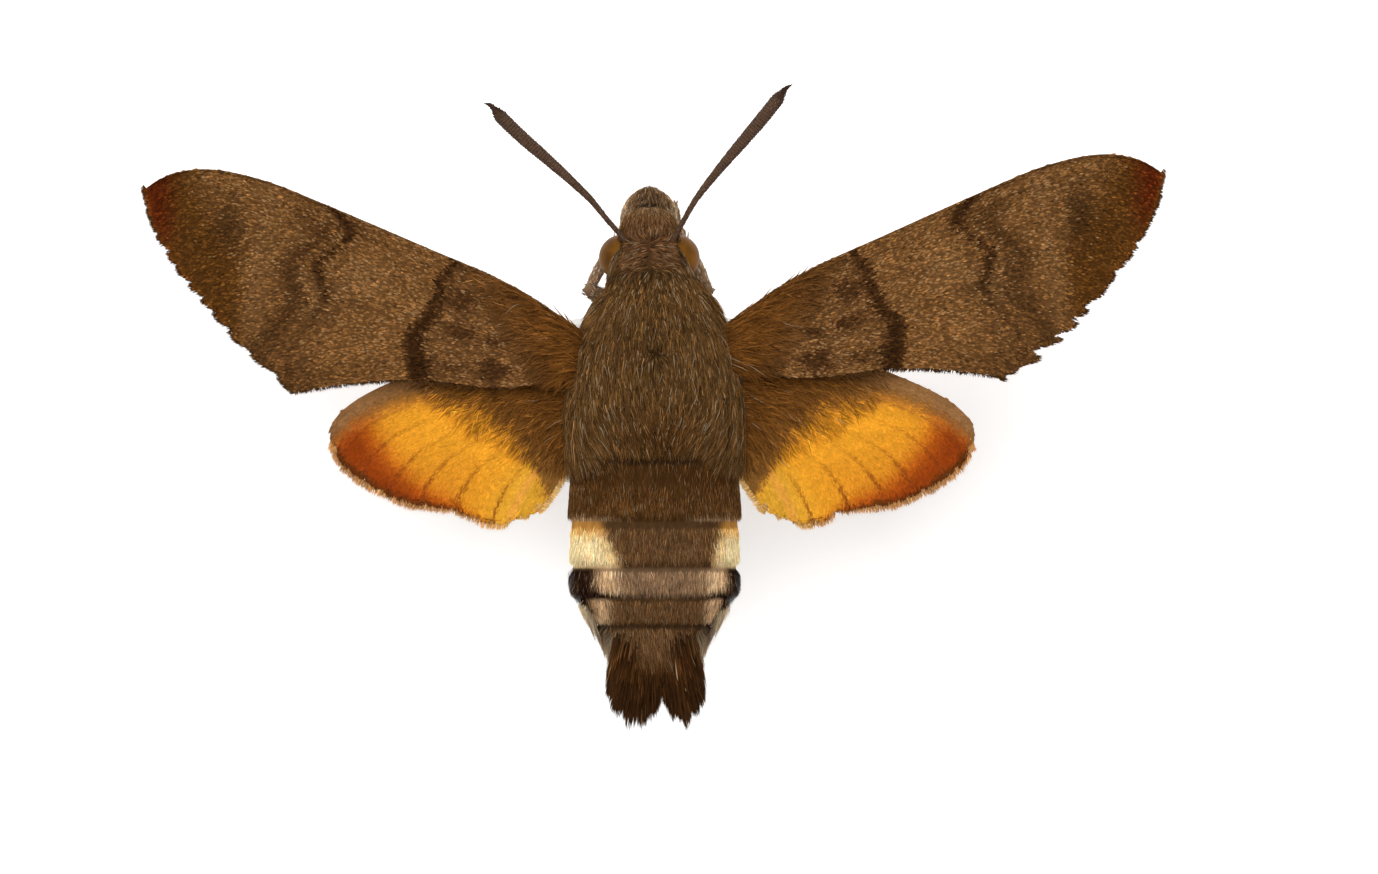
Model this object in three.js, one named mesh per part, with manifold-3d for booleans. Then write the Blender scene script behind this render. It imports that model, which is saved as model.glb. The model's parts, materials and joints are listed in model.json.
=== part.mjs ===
// A hummingbird hawk moth, set with its wings spread as a museum shows it, at life size, on a small stand.
// Millimetres. +Z is up, the head points along +Y, and the wings spread along X. The origin lies on the
// surface that the stand rests on, under the middle of the model's box.
import * as THREE from "three";
import { mergeVertices } from "three/addons/utils/BufferGeometryUtils.js";
import Module from "manifold-3d";

const wasm = await Module();
wasm.setup();

// Driving dimensions
const GAP = 0.3; // between pieces that meet
const WING_THICK = 0.5;
const WING_ROOT_SWELL = 0.5; // added thickness of the furry wing root
const VEIN_RISE = 0.1; // of a vein over the membrane, on each face
const FEELER_THICK = 0.5;
const RIGHT_FOREWING_TURN = 1.0; // degrees that it is set further forward than the left one
const RIGHT_FOREWING_SHIFT = [0.1, 0.32]; // out from the body, and forward
const RIGHT_HINDWING_SHIFT = [-0.22, 0.0];
const HEAD_SHIFT = -0.24; // of the head to the left of the body's middle
const FOREWING_Z = 11.9; // height of the forewing's root
const HINDWING_DROP = 1.0; // of the hindwing's root under the forewing's
const WING_LIFT = 0.055; // rise of a wing for each millimetre out from its root

const BODY_SIDES = 24;
const NECK_Y = 6.05;
const WAIST_Y = -3.15;
const TAIL_Y = -11.35;
const BODY_WIDEST = 0.58; // share of the body's height at which it is widest

// The body's outline at places along it: [y, half width, top, bottom]
const HEAD_LINE = [
  [8.85, 0.7, 10.9, 9.7],
  [8.65, 1.1, 11.3, 9.3],
  [8.3, 1.35, 11.6, 8.9],
  [7.8, 1.5, 11.85, 8.6],
  [7.2, 1.6, 12.05, 8.45],
  [6.7, 1.75, 12.2, 8.4],
  [NECK_Y + GAP, 1.95, 12.3, 8.45],
];
const THORAX_LINE = [
  [NECK_Y, 1.95, 12.3, 8.4],
  [5.6, 2.4, 12.7, 8.0],
  [4.7, 2.95, 13.25, 7.5],
  [3.4, 3.6, 13.8, 7.1],
  [2.0, 4.0, 14.05, 6.85],
  [0.4, 4.2, 14.0, 6.8],
  [-1.2, 4.2, 13.75, 6.95],
  [-2.4, 4.12, 13.4, 7.05],
  [WAIST_Y, 4.05, 13.1, 7.2],
];
const ABDOMEN_LINE = [
  [WAIST_Y - GAP, 3.98, 12.95, 7.15],
  [-5.2, 4.05, 12.95, 6.95],
  [-7.35, 3.98, 12.75, 7.0],
  [-8.4, 3.85, 12.5, 7.15],
  [-9.2, 3.3, 12.2, 7.45],
  [-10.1, 2.7, 11.8, 7.9],
  [TAIL_Y + GAP, 2.2, 11.35, 8.35],
];
// The core of the tail, half as long as its fan of locks
const TAIL_LINE = [
  [TAIL_Y, 2.15, 11.3, 8.4],
  [-12.0, 2.05, 11.05, 8.75],
  [-12.5, 1.8, 10.8, 9.05],
  [-12.9, 1.3, 10.55, 9.4],
];
// Where each ring of the abdomen ends, and how far its fringe stands over the next ring
const RING_ENDS = [-5.2, -7.35, -8.6, -9.95];
const RING_STEP = 0.16;

const MATERIALS = {
  coat: finish(0x5c4530, 0.85),
  snout: finish(0x6b5540, 0.85),
  forewing: finish(0x664c35, 0.8),
  hindwing: finish(0xe09a26, 0.75),
  eye: finish(0x8a5a14, 0.25),
  antenna: finish(0x4f3c32, 0.7),
  leg: finish(0x6f5a45, 0.8),
  proboscis: finish(0x4a2f18, 0.45),
  tail: finish(0x2f1c0d, 0.85),
  stand: finish(0xeceae4, 0.4),
  rod: finish(0xb9bcc0, 0.3, 1.0),
};

function finish(color, roughness, metalness = 0) {
  return new THREE.MeshStandardMaterial({ color, roughness, metalness });
}

// Turns a closed three.js geometry into a solid that can be joined and cut.
function solid(geometry) {
  const bare = geometry.clone();
  bare.deleteAttribute("normal");
  bare.deleteAttribute("uv");
  const merged = mergeVertices(bare, 1e-5);
  const made = new wasm.Manifold(
    new wasm.Mesh({
      numProp: 3,
      vertProperties: merged.attributes.position.array,
      triVerts: new Uint32Array(merged.index.array),
    }),
  );
  return made;
}

// Keeps the largest closed surface of a solid, as a named mesh.
function piece(name, material, body) {
  const parts = body.decompose().sort((a, b) => b.volume() - a.volume());
  const mesh = parts[0].getMesh();
  const geometry = new THREE.BufferGeometry()
    .setAttribute("position", new THREE.BufferAttribute(mesh.vertProperties, 3))
    .setIndex(new THREE.BufferAttribute(mesh.triVerts, 1));
  geometry.computeVertexNormals();
  const made = new THREE.Mesh(geometry, material);
  made.name = name;
  return made;
}

// Moves every vertex of a geometry to where place(point) says.
function shape(geometry, place) {
  const at = geometry.attributes.position;
  const point = new THREE.Vector3();
  for (let i = 0; i < at.count; i++) {
    place(point.fromBufferAttribute(at, i));
    at.setXYZ(i, point.x, point.y, point.z);
  }
  return geometry;
}

// A row of the table at a share of its length, on a smooth line through the rows.
function along(rows, share) {
  const place = Math.min(Math.max(share, 0), 1) * (rows.length - 1);
  const i = Math.min(Math.floor(place), rows.length - 2);
  const t = place - i;
  const [before, from, to, after] = [i - 1, i, i + 1, i + 2].map(
    (k) => rows[Math.min(Math.max(k, 0), rows.length - 1)],
  );
  return from.map((value, k) => {
    const leave = (to[k] - before[k]) / 2;
    const arrive = (after[k] - value) / 2;
    const rest = to[k] - value;
    return value + t * (leave + t * (3 * rest - 2 * leave - arrive + t * (leave + arrive - 2 * rest)));
  });
}

// A body length through the rows of its outline, swollen by grow on every side but its flat ends.
function bodyLength(rows, steps, grow = 0, swell = () => 0) {
  const tube = new THREE.CylinderGeometry(1, 1, 1, BODY_SIDES, steps);
  return shape(tube, (p) => {
    const [y, half, top, bottom] = along(rows, 0.5 - p.y);
    const more = grow + swell(y);
    const waist = bottom + BODY_WIDEST * (top - bottom);
    const rise = p.z > 0 ? top - waist + more : waist - bottom + more;
    p.set((half + more) * p.x, y, waist + rise * p.z);
  });
}

// A tapered limb along a curve: wide and thick give its full width and thickness at a share of its length,
// and up is the direction that its thickness points along.
function limb(points, { sides = 6, steps = 8, wide, thick = wide, up = [0, 0, 1] }) {
  const curve = new THREE.CatmullRomCurve3(points.map((p) => new THREE.Vector3(...p)));
  const tube = new THREE.CylinderGeometry(0.5, 0.5, 1, sides, steps);
  const upward = new THREE.Vector3(...up);
  return shape(tube, (p) => {
    const t = 0.5 - p.y;
    const ahead = curve.getTangent(t);
    const side = new THREE.Vector3().crossVectors(upward, ahead).normalize();
    const over = new THREE.Vector3().crossVectors(ahead, side);
    const [x, z] = [p.x * wide(t), p.z * thick(t)];
    p.copy(curve.getPoint(t)).addScaledVector(side, x).addScaledVector(over, z);
  });
}

// A flat tapered lock of scales from its root to its tip; up is the direction that its flat side faces.
function lock(root, tip, { wide, thick, bow, up }) {
  const middle = root.map((value, k) => (value + tip[k]) / 2 + bow * up[k]);
  return solid(
    limb([root, middle, tip], {
      sides: 5,
      steps: 3,
      wide: (t) => wide * (1 - 0.75 * t * t),
      thick: (t) => thick * (1 - 0.5 * t),
      up,
    }),
  );
}

// Repeatable random numbers from -1 to 1
let seed = 11;
function wobble() {
  seed = (seed * 16807) % 2147483647;
  return (2 * seed) / 2147483647 - 1;
}

const ball = (radii, centre, across = 16, down = 10) =>
  new THREE.SphereGeometry(1, across, down).scale(...radii).translate(...centre);

// A wing's edges, as points [x, y] of the right wing, from its root outwards or from its tip backwards
const FOREWING = {
  lead: [
    [3.0, 3.3], [6.5, 5.55], [10.5, 7.32], [14.8, 9.15],
    [17.5, 10.22], [19.9, 10.75], [21.7, 10.6], [23.12, 9.95],
  ],
  outer: [[23.12, 9.95], [22.85, 8.6], [22.0, 6.8], [20.4, 4.65], [18.6, 2.6], [16.45, 0.7]],
  trail: [[3.0, 1.45], [4.8, 1.15], [7.0, 0.9], [10.7, 1.25], [13.2, 1.15], [16.45, 0.7]],
  veins: [
    { outer: 0.0, from: 0 }, // costa
    { outer: 0.035, from: 0.1 },
    { outer: 0.11, from: 0 }, // radius, the upper side of the cell
    { outer: 0.2, from: 0.45 },
    { outer: 0.33, from: 0.5 },
    { outer: 0.47, from: 0.5 },
    { outer: 0.61, from: 0.5 },
    { outer: 0.75, from: 0 }, // cubitus, the lower side of the cell
    { outer: 0.88, from: 0.3 },
    { outer: 0.96, from: 0 },
    { outer: 1.0, from: 1 }, // trailing edge, with no vein
  ],
  cell: [2, 7],
  cellEnd: 0.5,
  rows: 14,
};
const HINDWING = {
  lead: [[3.0, 1.4], [6.4, 2.3], [9.5, 2.0], [11.8, 1.2], [13.5, 0.34], [14.5, -0.56], [14.86, -1.5]],
  outer: [
    [14.86, -1.5], [14.45, -2.5], [13.3, -3.45], [11.5, -4.36],
    [9.4, -4.72], [7.5, -5.4], [6.35, -5.2], [5.4, -4.9],
  ],
  trail: [[3.0, -1.2], [3.9, -2.5], [4.5, -3.6], [5.4, -4.9]],
  veins: [
    { outer: 0.0, from: 0 }, // costa
    { outer: 0.06, from: 0.15 },
    { outer: 0.16, from: 0 }, // radius, the upper side of the cell
    { outer: 0.27, from: 0.42 },
    { outer: 0.38, from: 0.45 },
    { outer: 0.48, from: 0.42 },
    { outer: 0.59, from: 0 }, // cubitus, the lower side of the cell
    { outer: 0.72, from: 0.05 },
    { outer: 0.86, from: 0.05 },
    { outer: 1.0, from: 1 }, // trailing edge, with no vein
  ],
  cell: [2, 6],
  cellEnd: 0.42,
  rows: 11,
};

const flatCurve = (points) => new THREE.SplineCurve(points.map((p) => new THREE.Vector2(...p)));
const mix = THREE.MathUtils.lerp;

// A place [x, y] on a wing: out runs from root to outer edge, back from leading to trailing edge.
function wingPlace({ leadCurve, outerCurve, trailCurve }, out, back) {
  const lead = leadCurve.getPoint(out);
  const trail = trailCurve.getPoint(out);
  const edge = outerCurve.getPoint(back);
  const tip = leadCurve.getPoint(1);
  const heel = trailCurve.getPoint(1);
  return ["x", "y"].map(
    (k) => mix(lead[k], trail[k], back) + out * (edge[k] - mix(tip[k], heel[k], back)),
  );
}

// A right wing as one sheet with its veins raised on both faces, turned forward about the origin. Its furry
// root swells on the outer face alone, so that the forewing and the hindwing stay clear of each other.
function wing(plan, rootZ, outerFace, degrees, [shiftX, shiftY]) {
  const columns = 2 * (plan.veins.length - 1);
  const curves = {
    leadCurve: flatCurve(plan.lead),
    outerCurve: flatCurve(plan.outer),
    trailCurve: flatCurve(plan.trail),
  };
  const turn = THREE.MathUtils.degToRad(degrees);
  const sheet = new THREE.BoxGeometry(1, 1, 1, plan.rows, columns, 1);
  return shape(sheet, (p) => {
    const out = p.x + 0.5;
    const column = Math.round((0.5 - p.y) * columns);
    const vein = column / 2;
    const [low, high] = [Math.floor(vein), Math.ceil(vein)];
    const atOuter = mix(plan.veins[low].outer, plan.veins[high].outer, vein - low);
    const back = mix(column / columns, atOuter, Math.min(1, 1.6 * out));
    const [x, y] = wingPlace(curves, out, back);
    const onVein = low === high && out >= plan.veins[low].from && low < plan.veins.length - 1;
    const crossVein = Math.abs(out - plan.cellEnd) < 0.5 / plan.rows
      && vein >= plan.cell[0] && vein <= plan.cell[1];
    const fade = 1 - 0.6 * out;
    const face = Math.sign(p.z);
    const swell = face === outerFace ? WING_ROOT_SWELL * Math.exp(-(((x - 3) / 2.6) ** 2)) : 0;
    const half = WING_THICK / 2 + swell + (onVein || crossVein ? VEIN_RISE * fade : 0);
    const z = rootZ + WING_LIFT * (x - 3) + face * half;
    p.set(
      x * Math.cos(turn) - y * Math.sin(turn) + shiftX,
      x * Math.sin(turn) + y * Math.cos(turn) + shiftY,
      z,
    );
  });
}

// Mirrors a solid that was made on the right to the left.
const onSide = (body, side) => (side > 0 ? body : body.mirror([1, 0, 0]));
const onHead = (body) => body.translate([HEAD_SHIFT, 0, 0]);
const NAMES = [["right", 1], ["left", -1]];

const model = new THREE.Group();
const add = (...args) => model.add(piece(...args));

// Rings of the abdomen swell towards their ends, where each fringe covers the next ring.
function ringStep(y) {
  const [front, back] = [WAIST_Y, TAIL_Y];
  const ends = [front, ...RING_ENDS, back];
  const i = ends.findIndex((end) => y > end) - 1;
  if (i < 0) return 0;
  return RING_STEP * (ends[i] - y) / (ends[i] - ends[i + 1]) - RING_STEP / 2;
}

// Half the body's width at a place along it
function halfWidthAt(rows, y) {
  const next = Math.max(1, rows.findIndex(([rowY]) => y >= rowY));
  const [[y0, half0], [y1, half1]] = [rows[next - 1], rows[next]];
  return THREE.MathUtils.mapLinear(y, y0, y1, half0, half1);
}

// Tail fan: two lobes of locks in an upper and a lower tier, with a notch between the lobes
const LOBES = [
  { middle: -1.0, half: 1.25, tipY: -14.55 },
  { middle: 1.35, half: 0.98, tipY: -14.4 },
];
const LOBE_FALL = 1.15; // from the lobe's tip to the tips of its outermost locks
const LOCKS_ACROSS = 6;
const TAIL_TIERS = [{ rootZ: 10.45, tipZ: 10.4 }, { rootZ: 9.4, tipZ: 9.8 }];
function tailLocks() {
  const locks = [];
  for (const { middle, half, tipY } of LOBES)
    for (const [tier, { rootZ, tipZ }] of TAIL_TIERS.entries())
      for (let i = 0; i < LOCKS_ACROSS - tier; i++) {
        const across = (2 * i + tier) / (LOCKS_ACROSS - 1) - 1;
        const tipX = middle + half * across + 0.05 * wobble();
        const tip = [tipX, tipY + LOBE_FALL * across * across + 0.05 * wobble(), tipZ];
        const root = [0.72 * tipX, TAIL_LINE[1][0] + 0.1, rootZ];
        locks.push(lock(root, tip, { wide: 0.9, thick: 0.55, bow: 0.05, up: [0, 0, 1] }));
      }
  return locks;
}

// Side tufts of the abdomen, three locks each, standing off its flank behind the third to fifth rings
const SIDE_TUFTS = [
  { rootY: -7.0, tipY: -8.6, wide: 0.95 },
  { rootY: -8.6, tipY: -10.15, wide: 0.85 },
  { rootY: -9.75, tipY: -10.98, wide: 0.75 },
];
const TUFT_STAND_OFF = 0.3;
const TUFT_Z = [9.35, 10.05, 10.75];
function sideTuft({ rootY, tipY, wide }, side) {
  return TUFT_Z.map((z) => {
    const sink = 0.55 + 0.5 * Math.abs(z - TUFT_Z[1]);
    const rootX = halfWidthAt(ABDOMEN_LINE, rootY) - sink;
    const tipX = halfWidthAt(ABDOMEN_LINE, tipY) + TUFT_STAND_OFF - 0.25 * Math.abs(z - TUFT_Z[1]);
    const root = [side * rootX, rootY, z];
    const tip = [side * tipX, tipY + 0.08 * wobble(), z - 0.1];
    return lock(root, tip, { wide, thick: 0.5, bow: 0.12, up: [side, 0, 0] });
  });
}

// Body lengths
const thorax = solid(bodyLength(THORAX_LINE, 16));
const thoraxWide = solid(bodyLength(THORAX_LINE, 16, GAP));
const headWide = solid(bodyLength(HEAD_LINE, 10, GAP));
const abdomen = wasm.Manifold.union([
  solid(bodyLength(ABDOMEN_LINE, 20, 0, ringStep)),
  ...SIDE_TUFTS.flatMap((tuft) => [...sideTuft(tuft, 1), ...sideTuft(tuft, -1)]),
]);
const tail = wasm.Manifold.union([solid(bodyLength(TAIL_LINE, 4)), ...tailLocks()]);

// Eyes, each set in a socket of the head
const EYE_CENTRE = [1.25, 6.8, 10.2];
const EYE_RADII = [1.05, 1.05, 1.25];
const EYE_INNER_X = 0.85;
const innerHalf = (x) =>
  solid(new THREE.BoxGeometry(4, 8, 8).translate(x - 2, EYE_CENTRE[1], EYE_CENTRE[2]));
const eye = solid(ball(EYE_RADII, EYE_CENTRE)).subtract(innerHalf(EYE_INNER_X));
const eyeSocket = solid(ball(EYE_RADII.map((r) => r + GAP), EYE_CENTRE)).subtract(
  innerHalf(EYE_INNER_X - GAP),
);

// Coiled tongue, a flat roll under the head with its turns showing as rings on its sides
const COIL_CENTRE = [0, 8.1, 8.35];
const COIL_R = 1.15;
const COIL_HALF = 0.27;
function coil(grow = 0) {
  const turns = 2;
  const profile = [new THREE.Vector2(0, -COIL_HALF - grow)];
  for (let i = 1; i <= 4 * turns; i++) {
    const r = ((COIL_R + grow) * i) / (4 * turns);
    const dip = i % 4 === 0 ? 0.12 : 0;
    profile.push(new THREE.Vector2(r, -COIL_HALF - grow + (grow ? 0 : dip)));
  }
  const far = profile.map((p) => new THREE.Vector2(p.x, -p.y)).reverse();
  return new THREE.LatheGeometry([...profile, ...far], 18)
    .rotateZ(Math.PI / 2)
    .translate(...COIL_CENTRE);
}
const coilRoom = solid(coil(GAP));

// Palps, the two furred lobes of the snout
const PALP_LINE = [
  [0.76, 7.2, 8.6], [0.78, 8.0, 8.3], [0.74, 8.75, 8.8],
  [0.62, 9.15, 9.6], [0.42, 9.5, 10.3], [0.24, 9.75, 10.75],
];
const palpWidth = (t) => 0.32 + 1.05 * Math.sin(Math.PI * (0.12 + 0.82 * t)) - 0.12 * t;
const palp = solid(
  limb(PALP_LINE, { sides: 10, steps: 8, wide: palpWidth, up: [0, -1, 0.2] }),
);
const midSlot = solid(new THREE.BoxGeometry(GAP, 20, 20).translate(0, 8, 9));

// Antennae, club-shaped with a small hook at the tip
const ANTENNAE = {
  right: [
    [0.85, 7.6, 11.6], [1.33, 8.47, 11.9], [1.85, 9.38, 12.1], [2.53, 10.28, 12.25], [3.28, 11.19, 12.4],
    [4.05, 12.09, 12.5], [4.81, 12.99, 12.55], [5.54, 13.9, 12.6], [5.92, 14.35, 12.6], [6.22, 14.52, 12.55],
  ],
  left: [
    [-1.35, 7.6, 11.6], [-2.12, 8.47, 11.9], [-2.87, 9.38, 12.1], [-3.8, 10.28, 12.25], [-4.81, 11.19, 12.35],
    [-5.85, 12.09, 12.45], [-6.8, 12.99, 12.5], [-7.2, 13.45, 12.55], [-7.45, 13.68, 12.55], [-7.7, 13.76, 12.5],
  ],
};
function antennaWidth(t) {
  const club = 0.14 * THREE.MathUtils.smoothstep(t, 0.25, 0.75);
  const tip = 0.45 * THREE.MathUtils.smoothstep(t, 0.86, 1);
  return FEELER_THICK + club - tip;
}
const antenna = (points) =>
  solid(limb(points, { sides: 6, steps: 20, wide: antennaWidth }));

// Legs, folded under the thorax: hip, knee, ankle and foot, with a width at each
const LEGS = {
  fore: {
    knee: [[1.3, 4.2, 8.0], [2.0, 4.75, 7.9], [2.95, 5.35, 8.6]],
    ankle: [[2.95, 5.35, 8.6], [2.5, 6.3, 7.7], [1.85, 7.2, 7.1]],
    foot: [[1.85, 7.2, 7.1], [1.5, 8.1, 6.75], [1.15, 9.2, 6.7]],
  },
  middle: {
    knee: [[1.2, 1.1, 7.2], [2.2, 1.5, 6.35], [3.5, 1.7, 6.1]],
    ankle: [[3.5, 1.7, 6.1], [3.3, 0.0, 5.8], [2.9, -1.9, 5.9]],
    foot: [[2.9, -1.9, 5.9], [2.6, -3.5, 5.95], [2.2, -5.2, 6.2]],
  },
  hind: {
    knee: [[1.05, -1.1, 7.2], [1.7, -2.2, 6.5], [2.1, -3.6, 6.1]],
    ankle: [[2.1, -3.6, 6.1], [1.6, -5.6, 5.8], [1.15, -7.4, 5.95]],
    foot: [[1.15, -7.4, 5.95], [0.9, -8.8, 6.1], [0.75, -10.3, 6.5]],
  },
};
const RIGHT_FORELEG_TUCK = 0.8; // share of its reach to the side, as it is folded closer than the left one
const SPUR_LENGTH = 0.95;
const SPUR_WIDE = 0.34;
function leg(joints, tuck = 1) {
  const [knee, ankle, foot] = [joints.knee, joints.ankle, joints.foot].map((points) =>
    points.map(([x, y, z]) => [x * tuck, y, z]),
  );
  const thigh = limb(knee, {
    sides: 6,
    steps: 4,
    wide: (t) => 1.0 - 0.35 * t,
    thick: (t) => 1.15 - 0.45 * t,
  });
  const shin = limb(ankle, { sides: 6, steps: 4, wide: (t) => 0.68 - 0.12 * t });
  const toes = limb(foot, { sides: 5, steps: 5, wide: (t) => 0.55 - 0.25 * t * t });
  const joint = (at, r) => solid(ball([r, r, r], at, 6, 4));
  const [heel, back] = [new THREE.Vector3(...foot[0]), new THREE.Vector3(...foot[1])];
  const spurs = [-0.35, 0.35].map((spread) => {
    const reach = back.clone().sub(heel).setLength(SPUR_LENGTH);
    const end = heel.clone().add(reach).add(new THREE.Vector3(spread, 0, -0.3));
    const path = [heel, heel.clone().lerp(end, 0.5), end].map((p) => p.toArray());
    return solid(limb(path, { sides: 4, steps: 1, wide: (t) => SPUR_WIDE * (1 - 0.7 * t) }));
  });
  return wasm.Manifold.union([
    ...spurs,
    solid(thigh),
    solid(shin),
    solid(toes),
    joint(ankle[0], 0.36),
    joint(foot[0], 0.29),
  ]);
}

// Stand: an oval foot and one rod that rises where the specimen's pin would be
const FOOT_HALF = [9.3, 4.1];
const FOOT_Y = 0.3;
const FOOT_THICK = 1.5;
const FOOT_EDGE = 0.25;
const ROD_R = 0.45;
const ROD_Y = 2.6;
const ROD_TOP = 6.5;
const COLLAR_R = 1.0;
const COLLAR_H = 0.6;
function standFoot() {
  const oval = new THREE.Shape().absellipse(
    0, 0, FOOT_HALF[0] - FOOT_EDGE, FOOT_HALF[1] - FOOT_EDGE, 0, 2 * Math.PI,
  );
  return new THREE.ExtrudeGeometry(oval, {
    depth: FOOT_THICK - 2 * FOOT_EDGE,
    bevelThickness: FOOT_EDGE,
    bevelSize: FOOT_EDGE,
    bevelSegments: 1,
    curveSegments: 20,
  }).translate(0, FOOT_Y, FOOT_EDGE);
}
function standRod() {
  const profile = [
    [0, 0],
    [COLLAR_R, 0],
    [COLLAR_R, COLLAR_H - 0.2],
    [ROD_R + 0.15, COLLAR_H],
    [ROD_R, COLLAR_H + 0.15],
    [ROD_R, ROD_TOP - FOOT_THICK],
    [0, ROD_TOP - FOOT_THICK],
  ];
  return new THREE.LatheGeometry(profile.map((p) => new THREE.Vector2(...p)), 12)
    .rotateX(Math.PI / 2)
    .translate(0, ROD_Y, FOOT_THICK);
}

const headWithSockets = solid(bodyLength(HEAD_LINE, 10))
  .subtract(eyeSocket)
  .subtract(eyeSocket.mirror([1, 0, 0]))
  .subtract(coilRoom);
add("head", MATERIALS.coat, onHead(headWithSockets));
add("thorax", MATERIALS.coat, thorax);
add("abdomen", MATERIALS.coat, abdomen);
add("tail_tuft", MATERIALS.tail, tail);
add("proboscis", MATERIALS.proboscis, onHead(solid(coil())));
for (const [name, side] of NAMES) {
  add("eye_" + name, MATERIALS.eye, onHead(onSide(eye, side)).subtract(thoraxWide));
  const snoutHalf = onSide(palp, side).subtract(headWide).subtract(coilRoom).subtract(midSlot);
  add("palp_" + name, MATERIALS.snout, onHead(snoutHalf));
  add("antenna_" + name, MATERIALS.antenna, antenna(ANTENNAE[name]).subtract(onHead(headWide)));
  const right = side > 0;
  const forewing = solid(
    wing(FOREWING, FOREWING_Z, 1, right ? RIGHT_FOREWING_TURN : 0, right ? RIGHT_FOREWING_SHIFT : [0, 0]),
  );
  const hindwing = solid(
    wing(HINDWING, FOREWING_Z - HINDWING_DROP, -1, 0, right ? RIGHT_HINDWING_SHIFT : [0, 0]),
  );
  add("forewing_" + name, MATERIALS.forewing, onSide(forewing, side).subtract(thoraxWide));
  add("hindwing_" + name, MATERIALS.hindwing, onSide(hindwing, side).subtract(thoraxWide));
  for (const [place, joints] of Object.entries(LEGS)) {
    const tuck = right && place === "fore" ? RIGHT_FORELEG_TUCK : 1;
    add("leg_" + place + "_" + name, MATERIALS.leg, onSide(leg(joints, tuck), side).subtract(thoraxWide));
  }
}
add("stand_foot", MATERIALS.stand, solid(standFoot()));
add("stand_rod", MATERIALS.rod, solid(standRod()));

export default model;
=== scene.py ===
# %% [markdown]
# # A hummingbird hawk moth, set as a museum shows it
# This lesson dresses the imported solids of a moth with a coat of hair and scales. The solids give the size
# and the place of every part. Here each part gets its fine shape, its coat and its finish. A set moth is a
# good subject for a beginner, because nearly everything on it is one idea repeated: a small flat scale or
# hair that grows from a surface and lies along it.

# %% Load the frame
import bmesh
import bpy
import json
import math
import numpy as np
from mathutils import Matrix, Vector

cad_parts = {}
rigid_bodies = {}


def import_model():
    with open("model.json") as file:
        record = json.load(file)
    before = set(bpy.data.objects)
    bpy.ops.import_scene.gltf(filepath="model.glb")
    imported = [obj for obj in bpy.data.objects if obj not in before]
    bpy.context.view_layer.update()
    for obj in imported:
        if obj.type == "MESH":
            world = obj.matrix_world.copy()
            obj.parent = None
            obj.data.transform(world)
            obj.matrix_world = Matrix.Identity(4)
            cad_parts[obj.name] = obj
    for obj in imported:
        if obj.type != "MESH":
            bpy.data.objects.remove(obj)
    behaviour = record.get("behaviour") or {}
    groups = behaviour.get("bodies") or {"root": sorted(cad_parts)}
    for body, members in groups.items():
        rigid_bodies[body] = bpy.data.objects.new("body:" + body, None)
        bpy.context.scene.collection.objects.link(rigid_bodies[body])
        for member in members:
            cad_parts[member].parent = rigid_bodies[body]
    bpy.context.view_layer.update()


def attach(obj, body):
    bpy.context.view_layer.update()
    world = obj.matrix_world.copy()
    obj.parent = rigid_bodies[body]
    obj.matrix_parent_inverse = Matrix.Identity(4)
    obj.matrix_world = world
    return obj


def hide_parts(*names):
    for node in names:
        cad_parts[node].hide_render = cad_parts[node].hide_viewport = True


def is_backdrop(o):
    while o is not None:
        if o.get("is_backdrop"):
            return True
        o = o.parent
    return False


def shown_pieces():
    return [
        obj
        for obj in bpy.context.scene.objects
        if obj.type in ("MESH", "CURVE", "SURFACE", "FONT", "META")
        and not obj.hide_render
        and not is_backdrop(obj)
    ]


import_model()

scene = bpy.context.scene

# %% [markdown]
# ## Units and helpers
# Shapes are worked out in millimetres, the natural unit of an insect, and are scaled to metres when a mesh
# is finished. One seeded generator makes every random draw, so that the moth comes out the same each time.

# %% Units, random numbers and curves through points
MM = 0.001
draw = np.random.default_rng(46)


def along(rows, share):
    """Points on a smooth line through the rows, at shares 0 to 1 of its length."""
    rows = np.asarray(rows, float)
    place = np.clip(np.atleast_1d(share), 0, 1) * (len(rows) - 1)
    i = np.minimum(place.astype(int), len(rows) - 2)
    t = (place - i)[:, None]
    last = len(rows) - 1
    before, start, end, after = (rows[np.clip(i + k, 0, last)] for k in (-1, 0, 1, 2))
    leave, arrive, rest = (end - before) / 2, (after - start) / 2, end - start
    return start + t * (leave + t * (3 * rest - 2 * leave - arrive + t * (leave + arrive - 2 * rest)))


def smooth(value, low, high):
    """0 under low, 1 over high, and an easy rise between them. It falls where low is over high."""
    t = np.clip((value - low) / (high - low), 0, 1)
    return t * t * (3 - 2 * t)


def bump(value, middle, half):
    """1 at the middle and 0 about two halves away, as a bell."""
    return np.exp(-(((value - middle) / half) ** 2))


def ripple(x, y, scale, seed=0):
    """A soft irregular pattern from -1 to 1, made of a few crossing waves."""
    waves = np.random.default_rng(seed).uniform(0, 2 * math.pi, (6, 2))
    total = 0
    for k, (turn, phase) in enumerate(waves):
        stretch = (1 + 0.45 * k) / scale
        total = total + np.sin(stretch * (x * math.cos(turn) + y * math.sin(turn)) + phase) / (1 + 0.35 * k)
    return total / 2.6


def unit(vectors):
    """The same vectors, one long."""
    return vectors / np.maximum(np.linalg.norm(vectors, axis=1, keepdims=True), 1e-9)


def blend_colours(base, colour, share):
    """Mixes a colour over the base by a share for each point."""
    share = np.clip(share, 0, 1)[:, None]
    return base * (1 - share) + np.asarray(colour) * share


def layered(base, count, layers):
    """Lays each colour over those before it, by its share at each of the points."""
    colour = np.tile(np.array(base), (count, 1))
    for over, share in layers:
        colour = blend_colours(colour, over, share)
    return colour


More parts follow.
